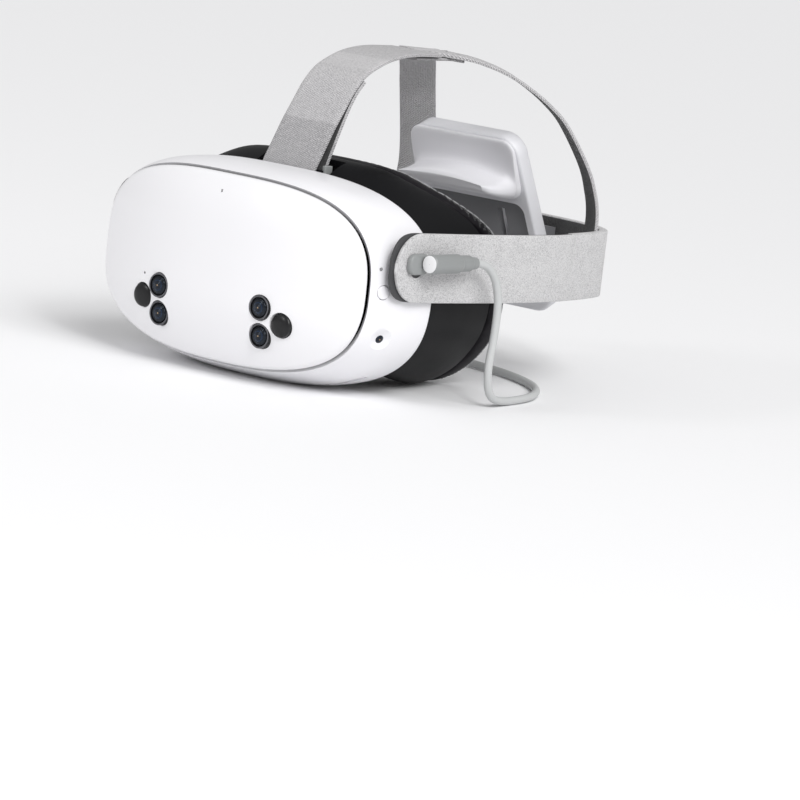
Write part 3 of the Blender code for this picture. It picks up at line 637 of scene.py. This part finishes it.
def make_side_details():
    eye = [(2.7, -7.5), (2.9, -2.3), (2.9, -2.05), (2.6, -1.95), (2.4, -2.2), (2.1, -1.9)]
    eye += [(1.2, -1.6), (0.1, -1.5)]
    paints = [CAMERA_BLACK, CAMERA_GLASS]
    for side, letter in SIDES:
        place = mirrored(SIDE_CAMERA, side)
        names = ("headset", "camera_glass", f"side_camera_{letter}")
        lens = turned(f"side_lens_{letter}", eye, *place, paints, *names, faces=second_paint(5, 6))
        radial_uv(lens, *place)
    press = [(BUTTON_R, -4.6), (BUTTON_R, -0.35), (3.3, -0.05), (3.05, 0.12), (2.6, 0.2), (0.1, 0.2)]
    turned("power_cap", press, *POWER, WHITE, "power_key", "white_shell", "power_button")
    turned("action_cap", press, *mirrored(UNDER, -1), WHITE, "action_key", "white_shell", "action_button")
    window = [(0.6, -4.0), (0.6, -0.2), (0.4, -0.05), (0.05, 0.0)]
    turned("status_window", window, *STATUS, LED, "headset", "led_white", "status_led", steps=24)
    levels = ((-3.4, 0.3), (-0.2, 0.3), (0.1, 0.45), (0.3, 0.9), (0.35, 1.4))
    rings = rocker_box(ROCKER_LONG / 2, ROCKER_WIDE / 2, levels)
    loft("volume_cap", rings, WHITE, "volume_key", "white_shell", "volume_rocker")


# ---- facial interface

# Half of the cushion's rear edge, from its top centre round the cheek to the nose.
RIM = [
    (0, 81, 112.6), (22, 82, 112.6), (42, 84.5, 111.0), (56, 90.5, 106.0),
    (67.5, 101.5, 99.0), (76, 116, 89.0), (79, 127, 76.0), (79, 133, 58.0),
    (75.5, 136.5, 40.0), (67.5, 139.5, 26.0), (57, 137, 12.3), (44, 130, 3.7),
    (30, 119, 6.5), (19, 108, 18.0), (9, 100, 31.0), (0, 97, 37.0),
]
RIM_DEEP, FRAME_WALL = 15.0, 2.6
FRAME_START = (88.2, 104.4, 6.3)  # the frame's half width, top and bottom where it leaves the shell
FRAME_BEHIND, FRAME_LAP = 0.8, -3.0  # its first visible ring behind the shell's rear edge, and its lap inside


def rim_points():
    """The rim's outer edge, clockwise from the top centre."""
    half = smooth(RIM, 20)
    picked = [half[round(i * (len(half) - 1) / (STEPS / 2))] for i in range(STEPS // 2 + 1)]
    return picked + [Vector((-p.x, p.y, p.z)) for p in picked[-2:0:-1]]


def inward(points, amount):
    """The closed line moved in by amount, seen from the front."""
    moved = []
    for i, point in enumerate(points):
        ahead = points[(i + 1) % len(points)] - points[i - 1]
        normal = Vector((ahead.z, 0, -ahead.x)).normalized()
        moved.append(point + normal * amount)
    return moved


def frame_section(share, depth, rim, back=FRAME_BEHIND):
    """A ring of the frame, at this share of the way from the shell to the cushion, depth inside its face."""
    start = [Vector((x, rear_y(z) + back, z)) for x, z in outline(*FRAME_START)]
    stretch = math.sin(share * math.pi / 2)
    ring = []
    for a, b in zip(start, rim):
        across = a.lerp(b, share)
        ring.append(Vector((across.x, a.y + (b.y - RIM_DEEP - a.y) * share, a.z + (b.z - a.z) * stretch)))
    return inward(ring, depth)


def placed(points):
    return [at(*point) for point in points]


def make_face_frame():
    rim = rim_points()
    shares = np.linspace(0.0, 1.0, 15)
    rings = [frame_section(0.0, 0.0, rim, FRAME_LAP)]
    rings += [frame_section(share, 0.0, rim) for share in shares]
    rings += [frame_section(share, FRAME_WALL, rim) for share in reversed(shares)]
    rings.append(frame_section(0.0, FRAME_WALL, rim, FRAME_LAP))
    rings = [placed(ring) for ring in rings]
    names = ("face_interface", "satin_black", "face_frame")
    frame_skin = loft("face_frame_skin", rings, SATIN_BLACK, *names, hollow=True)
    corners = ((-24, 96), (24, 96), (24, 125), (-24, 125))  # of the notch behind the strap's anchor
    notch = [placed([(x, y, z) for x, z in corners]) for y in (34, 61.5)]
    drill(frame_skin, [notch], "face_frame_notch")
    frame_skin.data.set_sharp_from_angle(angle=math.radians(40))


# (in from the rim's outer edge, back from it) round the cushion's section
CUSHION_SECTION = (
    (0.2, -13.9), (-0.1, -12.5), (-0.4, -9.0), (-0.3, -6.0), (0.0, -3.0), (0.6, -1.6),
    (1.6, -0.8), (3.2, -0.2), (5.0, 0.0), (7.4, -0.4), (9.5, -1.2), (11.4, -2.8),
    (12.5, -5.0), (13.0, -7.5), (13.0, -10.0), (12.6, -12.4), (12.0, -13.9),
)
THREAD_LONG, THREAD_WIDE, THREAD_STEP = 2.2, 0.34, 2.2
PAD_EDGE = 3.4  # the knit wraps this far forward of the rim
CLOTH_FRAMES = 14


def make_cushion():
    rim = rim_points()
    rings = []
    for depth, back in CUSHION_SECTION:
        rings.append(placed([point + Vector((0, back, 0)) for point in inward(rim, depth)]))
    names = (None, "soft_black", "face_cushion")
    cushion = loft("face_cushion_skin", rings, CUSHION, *names, hollow=True, sharp=80)
    puff(cushion, voxel=2.6 * MM, shrink=0.5 * MM, pressure=4.0, cap=2.2 * MM)
    paint_pad_side(cushion, rim)
    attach(cushion, "face_interface")
    stitch_cushion(cushion, rim)


def paint_pad_side(cushion, rim):
    """Gives the pad's outer side its smooth black, up to where the knit wraps round its rear edge."""
    cushion.data.materials.append(PAD_BLACK)
    edge = KDTree(len(rim))
    for i, point in enumerate(rim):
        edge.insert(at(*point), i)
    edge.balance()
    middle = at(0, 118, 62)
    for face in cushion.data.polygons:
        near, _, _ = edge.find(face.center)
        outward = Vector((face.center.x - middle.x, 0, face.center.z - middle.z))
        if face.center.y < near.y - PAD_EDGE * MM and face.normal.dot(outward.normalized()) > 0.1:
            face.material_index = 1


def stitch_cushion(cushion, rim):
    """Zigzag threads along the knit's edge, laid on the finished surface."""
    tree = BVHTree.FromObject(cushion, bpy.context.evaluated_depsgraph_get())
    line = even([*rim, rim[0]], THREAD_STEP)[:-1]
    for name, depth, back in (("outer", 0.2, -2.6), ("inner", 1.4, -1.2)):
        points, normals = [], []
        for i, point in enumerate(inward(line, depth)):
            lift = 0.55 if i % 2 else -0.55
            place, normal, _, _ = tree.find_nearest(at(*(point + Vector((0, back + lift, 0)))))
            points.append(place + normal * 0.12 * MM)
            normals.append(normal)
        stitches(f"cushion_seam_{name}", points, normals)


def stitches(name, points, normals):
    """A row of short raised threads, each from one point towards the next."""
    shape = bmesh.new()
    turns = [2 * math.pi * k / 6 for k in range(6)]
    for here, there, normal in zip(points, points[1:], normals):
        ahead = (there - here).normalized() * THREAD_LONG * MM / 2
        up = normal.normalized() * THREAD_WIDE * MM
        side = ahead.cross(up).normalized() * THREAD_WIDE * MM
        rings = []
        for share, size in ((-1.0, 0.35), (-0.8, 0.85), (0.0, 1.0), (0.8, 0.85), (1.0, 0.35)):
            centre = here + ahead + ahead * share
            rings.append([centre + (side * math.cos(t) + up * math.sin(t)) * size for t in turns])
        skin(shape, rings)
    publish(name, shape, THREAD, "face_interface", "soft_black")


def puff(piece, voxel, shrink, pressure, cap):
    """Inflates a padded piece by cloth simulation, and keeps each point within cap of its start."""
    remesh = piece.modifiers.new("remesh", "REMESH")
    remesh.mode = "VOXEL"
    remesh.voxel_size = voxel
    apply_modifiers(piece)
    mesh = piece.data
    count = len(mesh.vertices)
    start = np.empty(count * 3)
    mesh.vertices.foreach_get("co", start)
    start = start.reshape(-1, 3)
    normals = np.array([vertex.normal for vertex in mesh.vertices])
    mesh.vertices.foreach_set("co", (start - normals * shrink).ravel())
    cloth = piece.modifiers.new("cloth", "CLOTH")
    cloth.settings.quality = 6
    cloth.settings.mass = 0.2
    cloth.settings.use_pressure = True
    cloth.settings.uniform_pressure_force = pressure
    cloth.settings.effector_weights.gravity = 0
    cloth.point_cache.frame_start, cloth.point_cache.frame_end = 1, CLOTH_FRAMES
    for step in range(1, CLOTH_FRAMES + 1):
        bpy.context.scene.frame_set(step)
    apply_modifiers(piece)
    bpy.context.scene.frame_set(1)
    moved = np.empty(count * 3)
    piece.data.vertices.foreach_get("co", moved)
    offset = moved.reshape(-1, 3) - start
    length = np.linalg.norm(offset, axis=1, keepdims=True)
    offset *= np.minimum(1.0, cap / np.maximum(length, 1e-9))
    piece.data.vertices.foreach_set("co", (start + offset).ravel())
    finer = piece.modifiers.new("finer", "SUBSURF")
    finer.levels = finer.render_levels = 1
    apply_modifiers(piece)
    piece.data.shade_smooth()


# ---- straps


def strap_z(y):
    """Centre height of the arm and band, which fall slightly towards the back."""
    return 71.2 - 0.028 * (y - 40)


# The arm's and band's outer face, seen from above, from the front end to the back centre.
ARM_PATH = [(95.2, 22.0), (ARM_OUT, 45), (94.8, 85), (92.6, 125), (88.3, 158), (84.0, 176)]
BAND_PATH = [(84.0, 176), (77.5, 200), (67.5, 225), (50, 242), (26, 249.5), (0, 251.5)]
SLEEVE_THICK, CORE_THICK, BAND_THICK = 1.8, 1.5, 4.6
CORE_OUT, CORE_FRONT = 94.9, 19.9  # the dark core reaches a little ahead of its sleeve
FAR_ARM_BACK = 4.0  # the wearer's right arm starts this much further back
SLEEVE_HOLE_R = 5.4


def band_section(half, thick, edge, columns):
    """(across, out) points round a flat band with soft corners. The first columns of them are one face."""
    out, turn = thick / 2, 0.8
    bulge, drop = half - edge + edge * math.sin(turn), out - edge + edge * math.cos(turn)
    points = [(w, out) for w in np.linspace(-half + edge, half - edge, columns)]
    points += [(bulge, drop), (half, out - edge), (half, -out + edge), (bulge, -drop)]
    return points + [(-w, -n) for w, n in points]


def band_rings(centres, half_widths, across, thick, offset=0.0, soft=0.6, columns=9):
    """Rings of a flat band along centres, moved out by offset. across is one direction, or a list."""
    rings = []
    for i, (centre, half) in enumerate(zip(centres, half_widths)):
        ahead = centres[min(i + 1, len(centres) - 1)] - centres[max(i - 1, 0)]
        width = Vector(across[i] if isinstance(across, list) else across).normalized()
        normal = ahead.cross(width).normalized()
        width = normal.cross(ahead).normalized()
        section = band_section(half, thick, min(soft, half / 2, thick / 2), columns)
        rings.append([at(*(centre + width * w + normal * (offset + n))) for w, n in section])
    return rings


def rounded_front(path, power=2.0):
    """Stations and half widths of an arm whose front end is a half disc, or squarer with more power."""
    radius = ARM_WIDE / 2
    lengths = np.cumsum([0] + [(b - a).length for a, b in zip(path, path[1:])])
    early = [radius * (1 - math.cos(math.radians(angle))) for angle in range(8, 91, 4)]
    wanted = [*early, *np.arange(radius + 2, lengths[-1], 2.0), lengths[-1]]
    axes = [np.interp(wanted, lengths, [point[i] for point in path]) for i in range(3)]
    centres = [Vector(point) for point in zip(*axes)]
    halves = [radius * (1 - (max(radius - s, 0) / radius) ** power) ** (1 / power) for s in wanted]
    return centres, halves


def banded(
    name, centres, half, across, thick, materials, *names, offset=0.0, dark=0, dark_from=0, columns=9
):
    """A band whose lining shows from ring dark_from on: on its first face if dark is 1, its second if -1.
    When dark_from is past ring 0, that dark stretch is painted shade.
    """

    def faces(j, i):
        first = i < columns - 1
        second = columns + 4 <= i <= 2 * columns + 2
        return int(j >= dark_from and ((dark > 0 and first) or (dark < 0 and second)))

    rings = band_rings(centres, [half] * len(centres), across, thick, offset, columns=columns)
    return loft(name, rings, materials, *names, faces=faces)


def make_arms():
    for side, letter in SIDES:
        back = 0.0 if side > 0 else FAR_ARM_BACK
        line = [(ARM_PATH[0][0], ARM_PATH[0][1] + back), *ARM_PATH[1:]]
        path = smooth([(side * x, y, strap_z(y)) for x, y in line], 12)
        centres, halves = rounded_front(path)
        rings = band_rings(centres, halves, UP, SLEEVE_THICK, -side * SLEEVE_THICK / 2, 0.7, 13)
        sleeve = loft(f"sleeve_skin_{letter}", rings, KNIT, "head_strap", "knit_grey", f"arm_sleeve_{letter}")
        depth = SLEEVE_THICK + 0.1 + CORE_THICK / 2
        longer = [Vector((side * CORE_OUT, CORE_FRONT + 1.5 * back, strap_z(CORE_FRONT))), *path[1:]]
        centres, halves = rounded_front(longer, 2.7)
        rings = band_rings(centres, [half - 0.1 for half in halves], UP, CORE_THICK, -side * depth)
        core = loft(f"arm_liner_{letter}", rings, CHARCOAL, "head_strap", "charcoal", f"arm_core_{letter}")
        centre = (side * 95, PIVOT_Y, PIVOT_Z)
        drill(sleeve, [bore(SLEEVE_HOLE_R, -12, 12, centre, LEFT)], f"sleeve_hole_{letter}")
        drill(core, [bore(HUB_R + 0.4, -12, 12, centre, LEFT)], f"core_hole_{letter}")


def make_rear_band():
    half = smooth([(x, y, strap_z(y)) for x, y in BAND_PATH], 12)
    half[0] = half[0] + (half[1] - half[0]).normalized() * GAP
    whole = half + [Vector((-p.x, p.y, p.z)) for p in half[-2::-1]]
    names = ("head_strap", "knit_light", "rear_band")
    lining = {"offset": -BAND_THICK / 2, "dark": -1, "columns": 13}
    banded("rear_band_skin", whole, ARM_WIDE / 2, UP, BAND_THICK, [KNIT, LINING], *names, **lining)
    names, inside = ("head_strap", "knit_light"), -BAND_THICK - 0.1
    for side, letter in SIDES:
        here = [Vector((side * p.x, p.y, p.z)) for p in half[16:19]][::side]
        banded(f"band_seam_{letter}", here, ARM_WIDE / 2 - 0.4, UP, 0.5, LINING, *names, offset=inside)


# ---- top strap

# (y, z) of the top strap from the anchor to the crown, then of its end, which folds back under the bar
TOP_PATH = [
    (46.2, 104.9), (47.0, 108.0), (51.3, 115.8), (57.8, 127.6), (64.2, 137.6), (69.6, 145.8),
    (76.4, 153.0), (84.2, 157.6), (96.8, 162.3), (113, 164.9), (135.6, 165.3),
]
TAIL_PATH = [
    (46.3, 102.6), (47.6, 100.8), (49.9, 100.2), (52.1, 101.0), (53.7, 103.4),
    (57.9, 114.2), (62.8, 125.8), (67.6, 136.4), (72.6, 145.0), (78.0, 151.0),
]
PATCH_PATH = [(118, 165.3), (135, 165.3), (147, 165.3), (157, 164.4)]
# The left branch, from the crown to the inside of the rear band.
BRANCH_PATH = [
    (2.2, 146.6, 165.5), (7.0, 147.4, 165.5), (13.2, 152.4, 165.0), (20.5, 162.2, 163.2),
    (29.1, 173.5, 158.9), (36.4, 183.7, 152.6), (43.1, 193.2, 144.8), (48.8, 202.1, 134.9),
    (55.4, 214.0, 115.0), (58.2, 219.0, 101.0), (60.0, 220.2, 90.0), (60.4, 219.8, 77.0),
]
BRANCH_TWIST = (-51.5, 15.0, 90)  # degrees at the crown, what it gains, and by which ring
BRANCH_PAINTED_SHADE_FROM = 52  # the ring from which the left branch's face is painted with the dark lining, as painted shade where that face lies in shadow; the right branch has none
STRAP_THICK, STRAP_HALF, BRANCH_HALF = 1.8, 17.0, 9.5
PATCH_THICK, PATCH_HALF = 1.4, 15.0


def make_top_strap():
    paths = (TOP_PATH, TAIL_PATH, PATCH_PATH)
    top, tail, patch = (smooth([(0, y, z) for y, z in path], 10) for path in paths)
    paints = [TOP_KNIT, LINING]
    names = (None, "knit_grey", "top_strap")
    strap = banded("top_strap_skin", top, STRAP_HALF, LEFT, STRAP_THICK, paints, *names, dark=1, columns=13)
    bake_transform(strap)
    names, half = (None, "knit_grey", "top_strap_tail"), STRAP_HALF - 0.4
    tail = banded("top_strap_tail_skin", tail, half, LEFT, STRAP_THICK, paints, *names, dark=-1, columns=13)
    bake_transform(tail)
    under = (STRAP_THICK + PATCH_THICK) / 2 + 2 * GAP
    names = ("head_strap", "knit_grey", "crown_patch")
    banded("crown_patch_skin", patch, PATCH_HALF, LEFT, PATCH_THICK, paints, *names, offset=under, dark=1)
    first, gained, last = BRANCH_TWIST
    for side, letter in SIDES:
        path = smooth([(side * x, y, z) for x, y, z in BRANCH_PATH], 10)
        turns = [math.radians(first + gained * min(1.0, i / last)) for i in range(len(path))]
        across = [(side * math.cos(turn), math.sin(turn), 0) for turn in turns]
        paints, names = [BRANCH_KNIT, LINING], ("head_strap", "knit_grey", f"top_branch_{letter}")
        # Only the left branch gets the dark lining on its face, from the given ring down. It is painted shade
        # where that face lies in shadow, and the right branch stays light.
        lining = {"dark": max(side, 0), "dark_from": BRANCH_PAINTED_SHADE_FROM, "columns": 11}
        banded(f"top_branch_skin_{letter}", path, BRANCH_HALF, across, STRAP_THICK, paints, *names, **lining)


def make_anchor():
    """Bracket behind the shell's top edge, with the bar that the strap folds round."""
    shape = bmesh.new()
    parts = (
        ((-20.5, 41.9, 96.6), (20.5, 56.5, 98.8)),
        ((-20.2, 42.1, 97.5), (20.2, 43.9, 104.4)),
        ((-20.2, 50.4, 97.5), (-18.0, 56.0, 109.6)),
        ((18.0, 50.4, 97.5), (20.2, 56.0, 109.6)),
    )
    for low, high in parts:
        add_block(shape, low, high, 0.5)
    publish("anchor_bracket", shape, PLUG_GREY, "headset", "plug_grey", "strap_anchor")
    bar = [(0.1, -19), (2.4, -19), (2.6, -18.8), (2.6, 18.8), (2.4, 19), (0.1, 19)]
    turned("anchor_bar", bar, (0, 50.0, 104.6), (1, 0, 0), SATIN_BLACK, "headset", "plug_grey")


# ---- rear cradle

CRADLE_FOOT = Vector((0, 224.0, 35.5))
CRADLE_TILT, CRADLE_HIGH = 24.5, 99.5
# (out, lowest, highest, half width, arch of its top) of the head pad: a flat rest, then a shelf
SCOOP_LEVELS = [
    (2.3, 66.0, 98.5, 33.8, 0.0), (3.6, 65.6, 98.8, 34.3, 0.0), (4.7, 66.0, 97.4, 34.0, 0.0),
    (5.3, 66.3, 91.0, 33.8, 0.5), (6.0, 66.6, 83.0, 33.4, 3.0), (8.0, 68.0, 79.0, 33.0, 5.0),
    (12.0, 70.2, 78.6, 32.4, 6.0), (18.0, 74.0, 79.6, 31.4, 6.0), (23.0, 77.4, 81.8, 30.0, 4.5),
    (25.5, 80.0, 83.0, 27.8, 2.0),
]


def on_cradle(x, up, out):
    """A point of the tilted cradle: up along its face and out towards the headset."""
    tilt = math.radians(CRADLE_TILT)
    rise = Vector((0, -math.sin(tilt), math.cos(tilt)))
    face = Vector((0, -math.cos(tilt), -math.sin(tilt)))
    return at(*(CRADLE_FOOT + Vector((x, 0, 0)) + rise * up + face * out))


def round_corners(steps=12):
    """(side, level, a, b) round a rectangle: two signs, then how far round its corner's arc in each."""
    for side, level in ((1, 1), (1, -1), (-1, -1), (-1, 1)):
        for i in range(steps):
            turn = math.radians(90 * i / (steps - 1))
            arc = (math.sin(turn), math.cos(turn))
            yield side, level, *(arc if side == level else arc[::-1])


def cradle_outline(low, high, half_low, half_high, corner, out):
    """Ring of a tapering panel with round corners, on the cradle's face."""
    ring = []
    for side, level, a, b in round_corners():
        half, up = (half_high, high) if level > 0 else (half_low, low)
        ring.append(on_cradle(side * (half - corner + corner * a), up + level * (corner * b - corner), out))
    return ring


def pad_outline(out, low, high, half, arch):
    """Ring of the head pad at one level, with round corners and an arched top edge."""
    corner = min(7.0, (high - low) / 2 - 0.4)
    flat = half - corner
    ring = []
    for side, level, a, b in round_corners():
        up = high if level > 0 else low
        ring.append((side * (flat + corner * a), up + level * (corner * b - corner), level))
    ring += [(flat * share, high, 1) for share in np.linspace(-0.9, 0.9, 19)]
    return [on_cradle(x, up + (level > 0) * arch * (1 - (x / half) ** 2), out) for x, up, level in ring]


def cradle_cut(low_x, low_up, high_x, high_up, outs):
    """Cutter of a square hole in the cradle, between two distances out of its face."""
    corners = ((low_x, low_up), (high_x, low_up), (high_x, high_up), (low_x, high_up))
    return [[on_cradle(x, up, out) for x, up in corners] for out in outs]


def make_cradle():
    edge = [(-7.0, 1.6), (-6.8, 0.9), (-6.3, 0.35), (-5.6, 0.0)]
    edge += [(0.6, 0.0), (1.3, 0.25), (1.8, 0.7), (2.0, 1.3)]
    rings = [cradle_outline(s, CRADLE_HIGH - s, 41 - s, 35 - s, 11, out) for out, s in edge]
    shell = loft("cradle_shell_skin", rings, CRADLE_WHITE, "head_strap", "cradle_white", "cradle_shell")
    slot = cradle_cut(14, 20, 18.4, 57, (-12, 12))
    drill(shell, [[cradle_outline(10, 62, 35.5, 32.8, 6, out) for out in (-3.0, 12.0)]], "cradle_recess")
    drill(shell, [slot], "cradle_slot")
    drill(shell, [cradle_cut(2, 48, 26, 59, (-12, -4.6))], "cradle_pocket")
    edge = ((-2.7, 0), (-0.2, 0), (0.2, 0.4))
    rings = [cradle_outline(10.4 + s, 61.6 - s, 35.1 - s, 32.4 - s, 5.6, out) for out, s in edge]
    panel = loft("cradle_panel_skin", rings, CRADLE_GREY, "head_strap", "cradle_grey", "cradle_panel")
    drill(panel, [slot], "panel_slot")
    rings = [pad_outline(*level) for level in curve_stages(SCOOP_LEVELS, 6)]
    pad = loft("cradle_pad_skin", rings, CRADLE_SOFT, "head_strap", "cradle_white", "cradle_pad", sharp=60)


# ---- charging lead

PLUG_X, PLUG_Z, FAR_PLUG_Z, CORD_R = 103.3, 74.6, 8.4, 2.0
CORD_PATH = [
    (PLUG_X, 71.9, PLUG_Z), (PLUG_X, 75.5, PLUG_Z - 0.2), (103.5, 82.2, 72.2), (104.0, 88.0, 66.4),
    (104.6, 91.0, 58.0), (105.2, 91.4, 50.0), (106.2, 89.8, 38.0), (107.0, 87.4, 22.0),
    (106.6, 91.6, 9.4), (104.4, 106.0, 5.3), (97.0, 138.0, 5.2), (76.0, 167.0, 5.2),
    (44.0, 186.0, 5.2), (5.0, 196.0, 5.4),
]


def add_block(shape, low, high, rounding):
    """Adds a box with rounded edges to a bmesh."""
    block = bmesh.new()
    bmesh.ops.create_cube(block, size=1.0)
    bmesh.ops.scale(block, verts=block.verts, vec=[(b - a) * MM for a, b in zip(low, high)])
    bmesh.ops.translate(block, verts=block.verts, vec=at(*[(a + b) / 2 for a, b in zip(low, high)]))
    bmesh.ops.bevel(
        block, geom=list(block.edges), offset=rounding * MM, segments=4, profile=0.5, affect="EDGES"
    )
    mesh = bpy.data.meshes.new("block")
    block.to_mesh(mesh)
    block.free()
    shape.from_mesh(mesh)
    bpy.data.meshes.remove(mesh)


ADAPTER_Y, ADAPTER_Z, ADAPTER_CORNER = (28.6, 43.6), (68.4, 78.6), 4.2


def adapter_ring(x, inset):
    """The adapter's outline as seen from the side: a rectangle with well rounded corners."""
    centre = [sum(ends) / 2 for ends in (ADAPTER_Y, ADAPTER_Z)]
    flat = [(high - low) / 2 - ADAPTER_CORNER for low, high in (ADAPTER_Y, ADAPTER_Z)]
    radius = ADAPTER_CORNER - inset
    ring = []
    for side, level, a, b in round_corners(7):
        y, z = centre[0] + side * (flat[0] + radius * a), centre[1] + level * (flat[1] + radius * b)
        ring.append(at(x, y, z))
    return ring


def make_lead():
    rings = [adapter_ring(*step) for step in ((ARM_OUT + GAP, 0), (97.4, 0), (98.0, 0.35), (98.3, 1.0))]
    adapter = loft("adapter_body", rings, PLUG_GREY, "headset", "plug_grey", "charge_adapter")
    barrel = [(0.1, 36.1), (3.4, 36.1), (4.2, 36.3), (4.7, 37.0), (4.7, 57.4), (4.5, 58.0)]
    barrel += [(4.0, 58.4), (4.0, 66.2), (3.6, 66.9), (3.2, 67.0), (3.0, 71.5), (0.1, 71.5)]
    names = ([PLUG_GREY, PLUG_FACE], "headset", "plug_grey", "charge_plug")
    plug = turned("plug_body", barrel, (PLUG_X, 0, PLUG_Z), BACK, *names, faces=second_paint(0, 1))
    shape = bmesh.new()
    add_block(shape, (98.2, 37.6, 71.4), (PLUG_X, 42.4, 77.8), 0.6)
    joint = publish("plug_neck", shape, PLUG_GREY, "headset", "plug_grey")
    points = [at(*point) for point in smooth(CORD_PATH, 12)]
    curve = bpy.data.curves.new("cord_line", "CURVE")
    curve.dimensions = "3D"
    curve.bevel_depth = CORD_R * MM
    curve.bevel_resolution = 6
    curve.use_fill_caps = True
    spline = curve.splines.new("POLY")
    spline.points.add(len(points) - 1)
    for point, place in zip(spline.points, points):
        point.co = (*place, 1.0)
    curve.materials.append(CORD_GREY)
    cord = add_object("cord_sheath", curve)
    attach(cord, "headset")
    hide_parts("charge_cord")
    ahead = (points[-1] - points[-4]).normalized()
    ahead.z = 0
    body = [(2.4, 0.3), (2.5, 3.0), (3.0, 6.0), (4.6, 8.0), (5.1, 9.2), (5.2, 10.0), (5.2, 28.0)]
    body += [(4.9, 28.7), (4.6, 29.0), (3.7, 29.0), (3.6, 29.4), (3.6, 37.7), (3.3, 38.0), (0.1, 38.0)]
    names = ([PLUG_GREY, METAL], "headset", "plug_grey", "usb_plug")
    place = (*CORD_PATH[-1][:2], FAR_PLUG_Z), ahead
    far = turned("far_plug", body, *place, *names, faces=second_paint(*range(9, 13)), steps=40)


# ---- hidden pieces


def repaint_hidden():
    repaint(GASKET, "seam_gasket")
    repaint(CAMERA_BLACK, "light_sensor", "proximity_sensor")
    repaint(SATIN_BLACK, "inner_bezel", "lens_carriage_l", "lens_carriage_r")
    repaint(EYE_GLASS, "eye_lens_l", "eye_lens_r")
    repaint(DISPLAY, "display_panel")
    repaint(BOARD, "mainboard")
    repaint(METAL, "heat_sink")
    repaint(CHARCOAL, "fan_rotor", "arm_hub_l", "arm_hub_r", "speaker_l", "speaker_r")
    repaint(BATTERY, "battery_cell")
    repaint(CRADLE_GREY, "cradle_mount", "band_clip")


VIEW_RIGHT, VIEW_UP = Vector((0.7427, 0.6602, 0.1119)), Vector((-0.1691, 0.0232, 0.9853))
VIEW_FAR, VIEW_LENS = 2.4, 220.6
VIEW_ACROSS, VIEW_DOWN = 91.2, 44.6  # from the headset's lower front to the middle of the picture


def main_view():
    """Camera at the photograph's angle, rolled a little, with its axes in the row frame."""
    right = VIEW_RIGHT.normalized()
    towards = right.cross(VIEW_UP).normalized()
    up = towards.cross(right)
    reference = at(0, 2, 36)
    eye = reference + towards * VIEW_FAR
    aim = reference + right * VIEW_ACROSS * MM - up * VIEW_DOWN * MM
    back = (eye - aim).normalized()
    side = up.cross(back).normalized()
    data = bpy.data.cameras.new("view")
    data.lens = VIEW_LENS
    data.clip_end = 20.0
    camera = add_object("view", data)
    camera.matrix_world = Matrix((side, back.cross(side), back)).transposed().to_4x4()
    camera.location = eye
    bpy.context.scene.camera = camera


def area_light(name, place, size, power):
    """A rectangle of light, size metres, which faces the headset."""
    data = bpy.data.lights.new(name, "AREA")
    data.shape = "RECTANGLE"
    data.size, data.size_y = size
    data.energy = power
    lamp = add_object(name, data)
    lamp.location = place
    lamp.rotation_euler = (Vector((0, 0, 0.06)) - Vector(place)).to_track_quat("-Z", "Y").to_euler()


def studio():
    """Pale floor, even white surroundings, a broad soft sun and two small lights for the highlights."""
    scene = bpy.context.scene
    scene.view_settings.view_transform = "Standard"
    scene.world = bpy.data.worlds.new("studio")
    scene.world.use_nodes = True
    sky = scene.world.node_tree.nodes["Background"].inputs
    sky["Color"].default_value = (1.0, 1.0, 1.0, 1.0)
    sky["Strength"].default_value = 0.52
    shape = bmesh.new()
    bmesh.ops.create_grid(shape, x_segments=1, y_segments=1, size=6.0)
    pale = plastic("studio_floor", (0.92, 0.92, 0.93), 0.9, strength=0.0)
    floor = publish("floor", shape, pale, None, None)
    floor.location.z = -0.0002
    sun = bpy.data.lights.new("sun", "SUN")
    sun.energy, sun.angle = 1.75, math.radians(40)
    lamp = add_object("sun", sun)
    lamp.rotation_euler = Vector((0.80, -0.30, 0.75)).to_track_quat("Z", "Y").to_euler()
    area_light("key", (1.5, -1.0, 1.2), (0.26, 0.40), 7.0)
    area_light("front", (-0.6, -1.8, 0.9), (0.40, 0.26), 5.0)


def main():
    main_view()
    studio()
    for make in (
        make_front_plate, make_cameras, make_shell, make_side_details, make_face_frame, make_cushion,
        make_arms, make_rear_band, make_top_strap, make_anchor, make_cradle, make_lead,
    ):
        make()
    repaint_hidden()


main()
